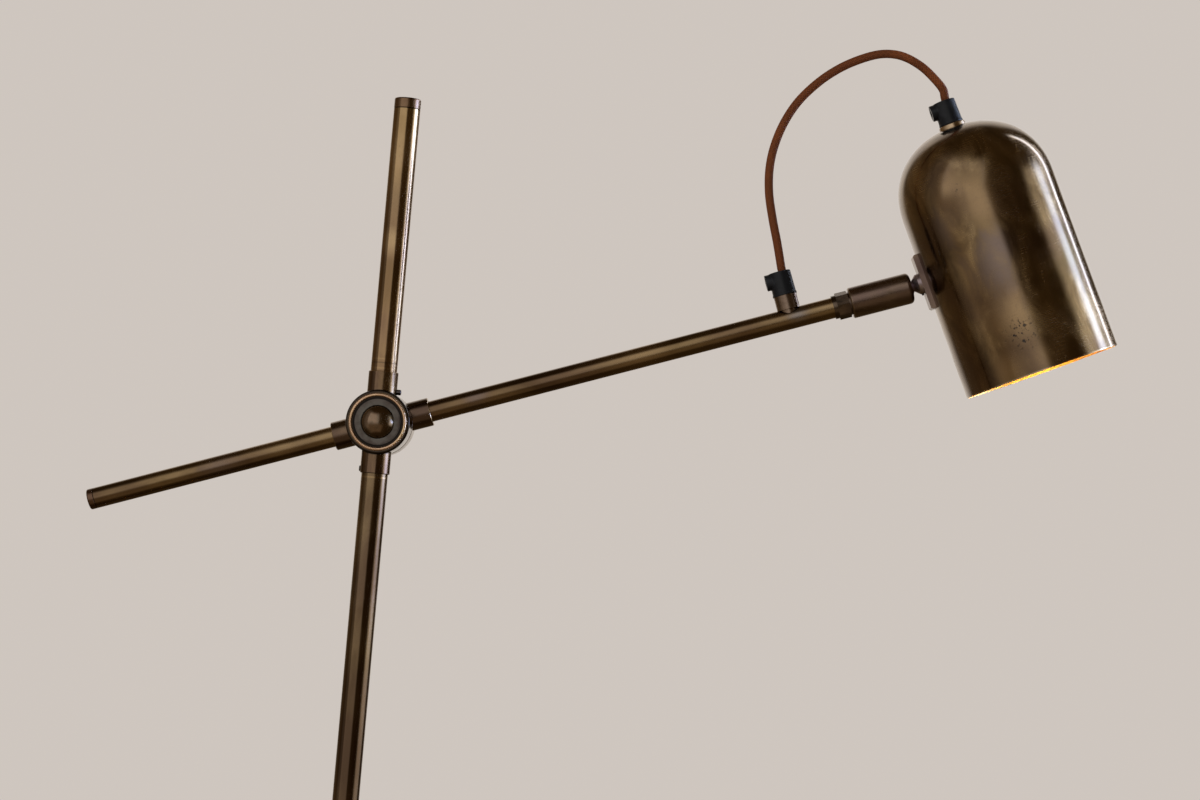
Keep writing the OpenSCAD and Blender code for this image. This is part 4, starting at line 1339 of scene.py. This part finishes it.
@dataclass
class ScrewSet:
    """All headless screws of one body, set out by one node tree.

    Attributes:
        body: The CAD body that they ride on.
        nodes: The CAD nodes that they stand for.
        screws: The screws.
        bevel: Bevel of a screw's end, as a share of its diameter.
        facets: Facets round a screw.
        hexagon: Radius and depth of a socket, as shares of the diameter and of twice the length.
        slot: Length, width and depth of the slot's cutter, in the same shares.
        marks: What each point carries for its screw, and the kind of each value.
    """

    body: str
    nodes: tuple[str, ...]
    screws: tuple[Screw, ...]
    bevel: float = 0.12
    facets: int = 40
    hexagon: tuple[float, float] = (0.29, 0.9)
    slot: Point = (1.2, 0.2, 0.5)
    marks: tuple[tuple[str, str], ...] = (
        ("size", "FLOAT_VECTOR"), ("aim", "FLOAT_VECTOR"), ("drive", "INT"),
    )

    def tree(self) -> Tree:
        """Builds the tree that puts a screw of unit diameter on every point."""
        t = Tree("headless_screws")
        (bevel,), (finish,) = t.inputs("Float", "Bevel"), t.inputs("Material", "Finish")
        one, aim, drive = (
            t.node("InputNamedAttribute", {"data_type": kind}, {"Name": name})
            for name, kind in self.marks
        )
        shank = t.node(
            "MeshCylinder", {"fill_type": "NGON"},
            {"Vertices": self.facets, "Radius": 0.5, "Depth": 1.0 - bevel},
        )
        shank = self._lift(t, shank, (bevel + 1.0) * -0.5)
        rim = t.node(
            "MeshCone", {"fill_type": "NGON"},
            {"Vertices": self.facets, "Radius Top": 0.5 - bevel, "Radius Bottom": 0.5,
             "Depth": bevel},
        )
        rim = self._lift(t, rim, bevel * -1.0)
        screw = t.node("MeshBoolean", {"operation": "UNION"}, {"Mesh 2": shank})
        t.feed(screw.socket.node.inputs["Mesh 2"], rim)
        hexagon = t.node(
            "MeshCylinder", {"fill_type": "NGON"},
            {"Vertices": 6, "Radius": self.hexagon[0], "Depth": self.hexagon[1]},
        )
        blade = t.node("MeshCube", inputs={"Size": self.slot})
        shape = t.node("JoinGeometry")
        for index, cutter in enumerate((hexagon, blade)):
            cut = t.node("MeshBoolean", {"operation": "DIFFERENCE"},
                         {"Mesh 1": screw, "Mesh 2": cutter})
            turn = t.node("FunctionNodeAlignRotationToVector", {"axis": "Z"}, {"Vector": aim})
            chosen = t.node("FunctionNodeCompare", {"data_type": "INT", "operation": "EQUAL"},
                            {2: drive, 3: index})
            placed = t.node(
                "InstanceOnPoints",
                inputs={"Points": t.node("MeshToPoints", inputs={0: t.geometry()}),
                        "Selection": chosen, "Instance": cut, "Rotation": turn, "Scale": one},
            )
            t.feed(shape.socket.node.inputs[0], placed)
        t.close(shape, finish)
        return t

    @staticmethod
    def _lift(t: Tree, shape: Sock, height: Any) -> Sock:
        """Returns the shape moved along Z."""
        return t.node("Transform",
                      inputs={"Geometry": shape, "Translation": t.join(0.0, 0.0, height)})

    def build(self, finish: Material) -> None:
        """Makes the body's screws in place of their solids.

        Args:
            finish: The screws' material.
        """
        mesh = bpy.data.meshes.new("screw_points")
        mesh.from_pydata([tuple(s.end) for s in self.screws], [], [])
        for name, kind in self.marks:
            mesh.attributes.new(name, kind, "POINT")
        for i, s in enumerate(self.screws):
            mesh.attributes["size"].data[i].vector = (s.diameter, s.diameter, s.length)
            mesh.attributes["aim"].data[i].vector = s.aim
            mesh.attributes["drive"].data[i].value = s.drive.value
        base = link(bpy.data.objects.new("screw_points", mesh))
        name = self.body + "_screws"
        screws = self.tree().run(base, name, Bevel=self.bevel, Finish=finish)
        smooth_by_angle(screws, 30.0)
        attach(screws, self.body)
        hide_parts(*self.nodes)
        LOG.info("%s: %d screws", name, len(self.screws))


# ---- Studio ----


@dataclass(frozen=True)
class Window:
    """A soft bright patch that the metal mirrors, seen from the lamp.

    Attributes:
        azimuth: Lowest and highest azimuth, 0 towards -Y and 90 towards +X, in degrees.
        height: Lowest and highest elevation, in degrees.
        soft: Widths of its soft edges across and up, in degrees.
        light: Its radiance.
        tint: Its colour.
    """

    azimuth: tuple[float, float]
    height: tuple[float, float]
    soft: tuple[float, float]
    light: float
    tint: Colour = (1.0, 1.0, 1.0)


@dataclass
class Studio:
    """A pale floor, a pale surround, soft lights and the camera.

    Attributes:
        eye: Place of the camera.
        yaw: Turn of the camera to the left, in degrees.
        pitch: Turn of the camera upwards, in degrees.
        roll: Turn of the camera about its own line of sight, in degrees.
        lens: Focal length on a 36 mm wide picture, in millimetres.
        floor_radius: Radius of the floor.
        pale: Colour of the surround.
        windows: What the metal mirrors besides the dim room.
        room: Radiance of the dim room.
        glow: Colour of the dim room.
        floor_tones: The two tones of the floor.
        dome: Place and radius of the mirror room.
        lights: Name, place, size and power of each soft light.
        aim: The point that the soft lights face.
    """

    eye: Point = (0.21602, -1.98769, 1.12786)
    yaw: float = 1.748
    pitch: float = 2.918
    roll: float = -4.872
    lens: float = 84.0
    floor_radius: float = 6.0
    pale: Colour = (0.62, 0.565, 0.52)
    windows: tuple[Window, ...] = (
        Window((-58.0, 6.0), (-9.0, 44.0), (8.0, 22.0), 1.0, (1.0, 0.985, 0.95)),
        Window((-84.0, -54.0), (-30.0, 50.0), (26.0, 20.0), 0.24, (1.0, 0.95, 0.88)),
        Window((-142.0, -90.0), (-30.0, 50.0), (16.0, 20.0), 0.1, (1.0, 0.7, 0.4)),
        Window((-70.0, 30.0), (-58.0, -12.0), (20.0, 16.0), 0.24, (1.0, 0.8, 0.55)),
        Window((70.0, 116.0), (-10.0, 31.0), (18.0, 14.0), 1.8, (1.0, 1.02, 0.95)),
        Window((94.0, 109.0), (5.0, 31.0), (9.0, 14.0), 6.0, (0.62, 0.9, 1.6)),
        Window((82.0, 108.0), (1.0, 15.0), (12.0, 8.0), 8.0, (0.6, 0.88, 1.85)),
        Window((124.0, 130.0), (14.0, 60.0), (2.0, 10.0), 8.0, (0.9, 1.0, 1.25)),
        Window((156.0, 212.0), (-14.0, 50.0), (14.0, 20.0), 0.75, (1.0, 0.93, 0.86)),
        Window((-152.0, -142.0), (-6.0, 46.0), (6.0, 12.0), 0.24, (1.0, 0.95, 0.9)),
    )
    room: float = 0.088
    glow: Colour = (1.0, 0.64, 0.28)
    floor_tones: tuple[Colour, Colour] = ((0.74, 0.69, 0.645), (0.78, 0.73, 0.685))
    dome: tuple[Point, float] = ((0.1, 0.0, 1.2), 8.0)
    lights: tuple[tuple[str, Point, float, float], ...] = (
        ("key", (-1.6, -2.2, 2.6), 1.6, 42.0),
        ("side", (2.2, 0.4, 1.7), 1.2, 20.0),
    )
    aim: Point = (0.15, 0.0, 1.1)

    def camera(self) -> None:
        """Makes the camera at the photograph's angle."""
        turn = (
            Matrix.Rotation(math.radians(self.yaw), 4, "Z")
            @ Matrix.Rotation(math.radians(self.pitch), 4, "X")
            @ Matrix.Rotation(math.radians(self.roll), 4, "Y")
            @ Matrix.Rotation(math.radians(90.0), 4, "X")
        )
        data = bpy.data.cameras.new("camera")
        data.lens, data.sensor_width = self.lens, 36.0
        data.clip_start, data.clip_end = 0.05, 60.0
        camera = link(bpy.data.objects.new("camera", data))
        camera.matrix_world = Matrix.Translation(self.eye) @ turn
        bpy.context.scene.camera = camera

    def floor(self) -> None:
        """Makes the pale floor."""
        shape = bmesh.new()
        bmesh.ops.create_circle(shape, cap_ends=True, segments=96, radius=self.floor_radius)
        floor = solid("floor", shape)
        floor.location.z = -0.0005
        s = Shader("pale_floor")
        at = s.place()
        tone = s.mix(*self.floor_tones, s.noise(at, 14.0, 4.0, 0.6))
        coat(floor, s.finish(Base_Color=tone, Roughness=0.85))
        floor.visible_glossy = False

    def mirror_room(self) -> None:
        """Makes the dome that only the metal mirrors: a dim room with bright windows."""
        shape = bmesh.new()
        centre, radius = self.dome
        bmesh.ops.create_uvsphere(shape, u_segments=64, v_segments=32, radius=radius)
        dome = solid("mirror_room", shape)
        dome.location = centre
        s = Shader("mirror_room")
        x, y, z = s.split(s.vector("NORMALIZE", s.node("TexCoord", output="Object")))
        degrees = 180.0 / math.pi
        azimuth = s.math("ARCTAN2", x, y * -1.0) * degrees
        height = s.math("ARCSINE", z) * degrees
        glow = s.mix((0.0, 0.0, 0.0), self.glow, self.room)
        for w in self.windows:
            off = s.math("WRAP", azimuth - sum(w.azimuth) / 2, 180.0, -180.0)
            mask = None
            for far, (low, high), soft in zip(
                (off, height - sum(w.height) / 2), (w.azimuth, w.height), w.soft
            ):
                half, far = (high - low) / 2, s.math("ABSOLUTE", far)
                side = far.step(half + soft / 2, half - soft / 2)
                mask = mask * side if mask else side
            glow = s.mix(glow, tuple(c * w.light for c in w.tint), mask, "ADD")
        light = s.node("Emission", inputs={"Color": glow, "Strength": 1.0})
        s.node("OutputMaterial", inputs={"Surface": light})
        s.material.cycles.emission_sampling = "NONE"
        coat(dome, s.material)
        dome.visible_camera = dome.visible_diffuse = False
        dome.visible_transmission = dome.visible_shadow = False
        dome.visible_volume_scatter = False

    def light(self) -> None:
        """Makes the soft lights and the surround."""
        for name, place, size, power in self.lights:
            data = bpy.data.lights.new(name, "AREA")
            data.shape, data.size, data.energy = "DISK", size, power
            lamp = link(bpy.data.objects.new(name, data))
            lamp.location = place
            away = Vector(place) - Vector(self.aim)
            lamp.rotation_euler = away.to_track_quat("Z", "Y").to_euler()
            lamp.visible_glossy = False
        world = bpy.data.worlds.new("surround")
        bpy.context.scene.world = world
        world.use_nodes = True
        world.node_tree.nodes.clear()
        g = Graph(world.node_tree)
        back = g.node("Background", inputs={"Color": self.pale, "Strength": 1.0})
        g.node("OutputWorld", inputs={"Surface": back})

    def build(self) -> None:
        """Makes everything that isn't the lamp."""
        bpy.context.scene.view_settings.view_transform = "Standard"
        self.camera()
        self.floor()
        self.mirror_room()
        self.light()


# ---- The lamp ----


@dataclass
class LampDress:
    """Which finish each CAD node of the lamp shows."""

    frame: dict[str, Any]
    finishes: Finishes

    def build(self) -> None:
        """Gives every CAD node its finish."""
        f = self.finishes
        table: tuple[tuple[Material, tuple[str, ...]], ...] = (
            (f.base, ("base_cover", "post_foot")),
            (f.post_low, ("lower_tube", "tube_coupler", "middle_tube")),
            (f.post, ("upper_tube",)),
            (f.post_cap, ("post_cap", "boom_cap")),
            (f.boom, ("rear_tube", "front_tube")),
            (f.swivel, ("post_drum",)),
            (f.boom_swivel, ("boom_drum", "drum_back_cap")),
            (f.nut, ("friction_nut",)),
            (f.bead, ("bead_ring",)),
            (f.crown, ("crown_ring", "ball_seat")),
            (f.plate, ("face_plate",)),
            (f.button, ("dome_button",)),
            (f.barrel, ("knuckle_barrel", "cord_outlet")),
            (f.steel, ("ball_stud",)),
            (f.pivot, ("pivot_plate",)),
            (f.screw, ("post_set_screws", "boom_set_screws", "lower_grip_screw",
                       "upper_grip_screw", "stud_lock_screw")),
            (f.zinc, ("base_nut", "base_washer", "threaded_rod", "post_bush", "clutch_bolt",
                      "clutch_spring", "clutch_nut", "seat_spring", "stud_nut",
                      "crown_nipple", "lock_washer", "lock_nut", "lamp_cap")),
            (f.black, ("lower_grip", "upper_grip", "lead_inlet")),
            (f.shade_inside, ("shade", "holder_cap")),
            (f.porcelain, ("holder_body", "holder_core")),
            (f.glass, ("lamp_glass_bulb",)),
            (f.felt, ("base_pad",)),
            (f.iron, ("base_weight",)),
            (f.fibre, ("friction_washer",)),
            (f.braid, ("cord_loop",)),
        )
        for finish, nodes in table:
            dress(self.frame, finish, nodes)


def screw_sets(grip: CordGrip, outlet: tuple[float, float], crown: float) -> list[ScrewSet]:
    """Sets out the lamp's headless screws, body by body.

    Args:
        grip: The cord grip, whose boss holds a screw.
        outlet: Place of the lower grip, along and above the boom.
        crown: Height of the upper grip in the shade's frame.

    Returns:
        One set for each body that has screws.
    """
    diameter, stud_diameter = 0.004, 0.0018
    post_high, post_low = (0.01365, 1.22256, 0.0040), (0.01145, 1.1665, 0.0018)
    boom_screw, rear, boom_length = 0.0294, 0.0103 + 0.0016, 0.0040
    sunk, grip_length = 0.0008, 0.0060
    stud_out, stud_up, stud_length = -0.061, 0.0804, 0.0044
    along, above = outlet
    end, boss_up = grip.reach - sunk, grip.boss_up
    boom_out = FRAMES.boom(1, 0) - FRAMES.boom(0, 0)
    shade_out = FRAMES.shade(1, 0) - FRAMES.shade(0, 0)
    shade_up = FRAMES.shade(0, 1) - FRAMES.shade(0, 0)
    ahead, back = Vector((1.0, 0.0, 0.0)), Vector((0.0, 1.0, 0.0))
    post = ScrewSet("post", ("post_set_screws",), tuple(
        Screw(Vector((side * reach, 0.0, height)), ahead * side, diameter, length, Drive.SOCKET)
        for side, (reach, height, length) in ((1.0, post_high), (-1.0, post_low))
    ))
    boom = ScrewSet("boom", ("boom_set_screws", "lower_grip_screw"), (
        Screw(FRAMES.boom(boom_screw, 0.0, rear), back, diameter, boom_length, Drive.SOCKET),
        Screw(FRAMES.boom(-boom_screw, 0.0, rear), back, diameter, boom_length, Drive.SOCKET),
        Screw(FRAMES.boom(along - end, above + boss_up), -boom_out, diameter, grip_length,
              Drive.SLOT),
    ))
    shade = ScrewSet("shade", ("upper_grip_screw", "stud_lock_screw"), (
        Screw(FRAMES.shade(-end, crown + boss_up), -shade_out, diameter, grip_length, Drive.SLOT),
        Screw(FRAMES.shade(stud_out, stud_up), -shade_up, stud_diameter, stud_length, Drive.SLOT),
    ))
    return [post, boom, shade]


def main() -> None:
    """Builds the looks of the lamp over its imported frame."""
    logging.basicConfig(level=logging.INFO, format="%(name)s: %(message)s")
    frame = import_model()
    Studio().build()
    finishes = Finishes()
    CordRun().build(finishes.braid)
    LampDress(frame, finishes).build()
    ShadeShell().build(finishes)
    outlet, crown = (0.3036, 0.0173), 0.18994
    low_hole, high_hole = 0.0024, 0.0020
    grip = CordGrip()
    grip.build("lower_grip", low_hole, FRAMES.boom_matrix(*outlet), "boom", finishes.black)
    grip.build("upper_grip", high_hole, FRAMES.shade_matrix(crown), "shade", finishes.black)
    for screws in screw_sets(grip, outlet, crown):
        screws.build(finishes.screw)


if __name__ == "__main__":
    main()
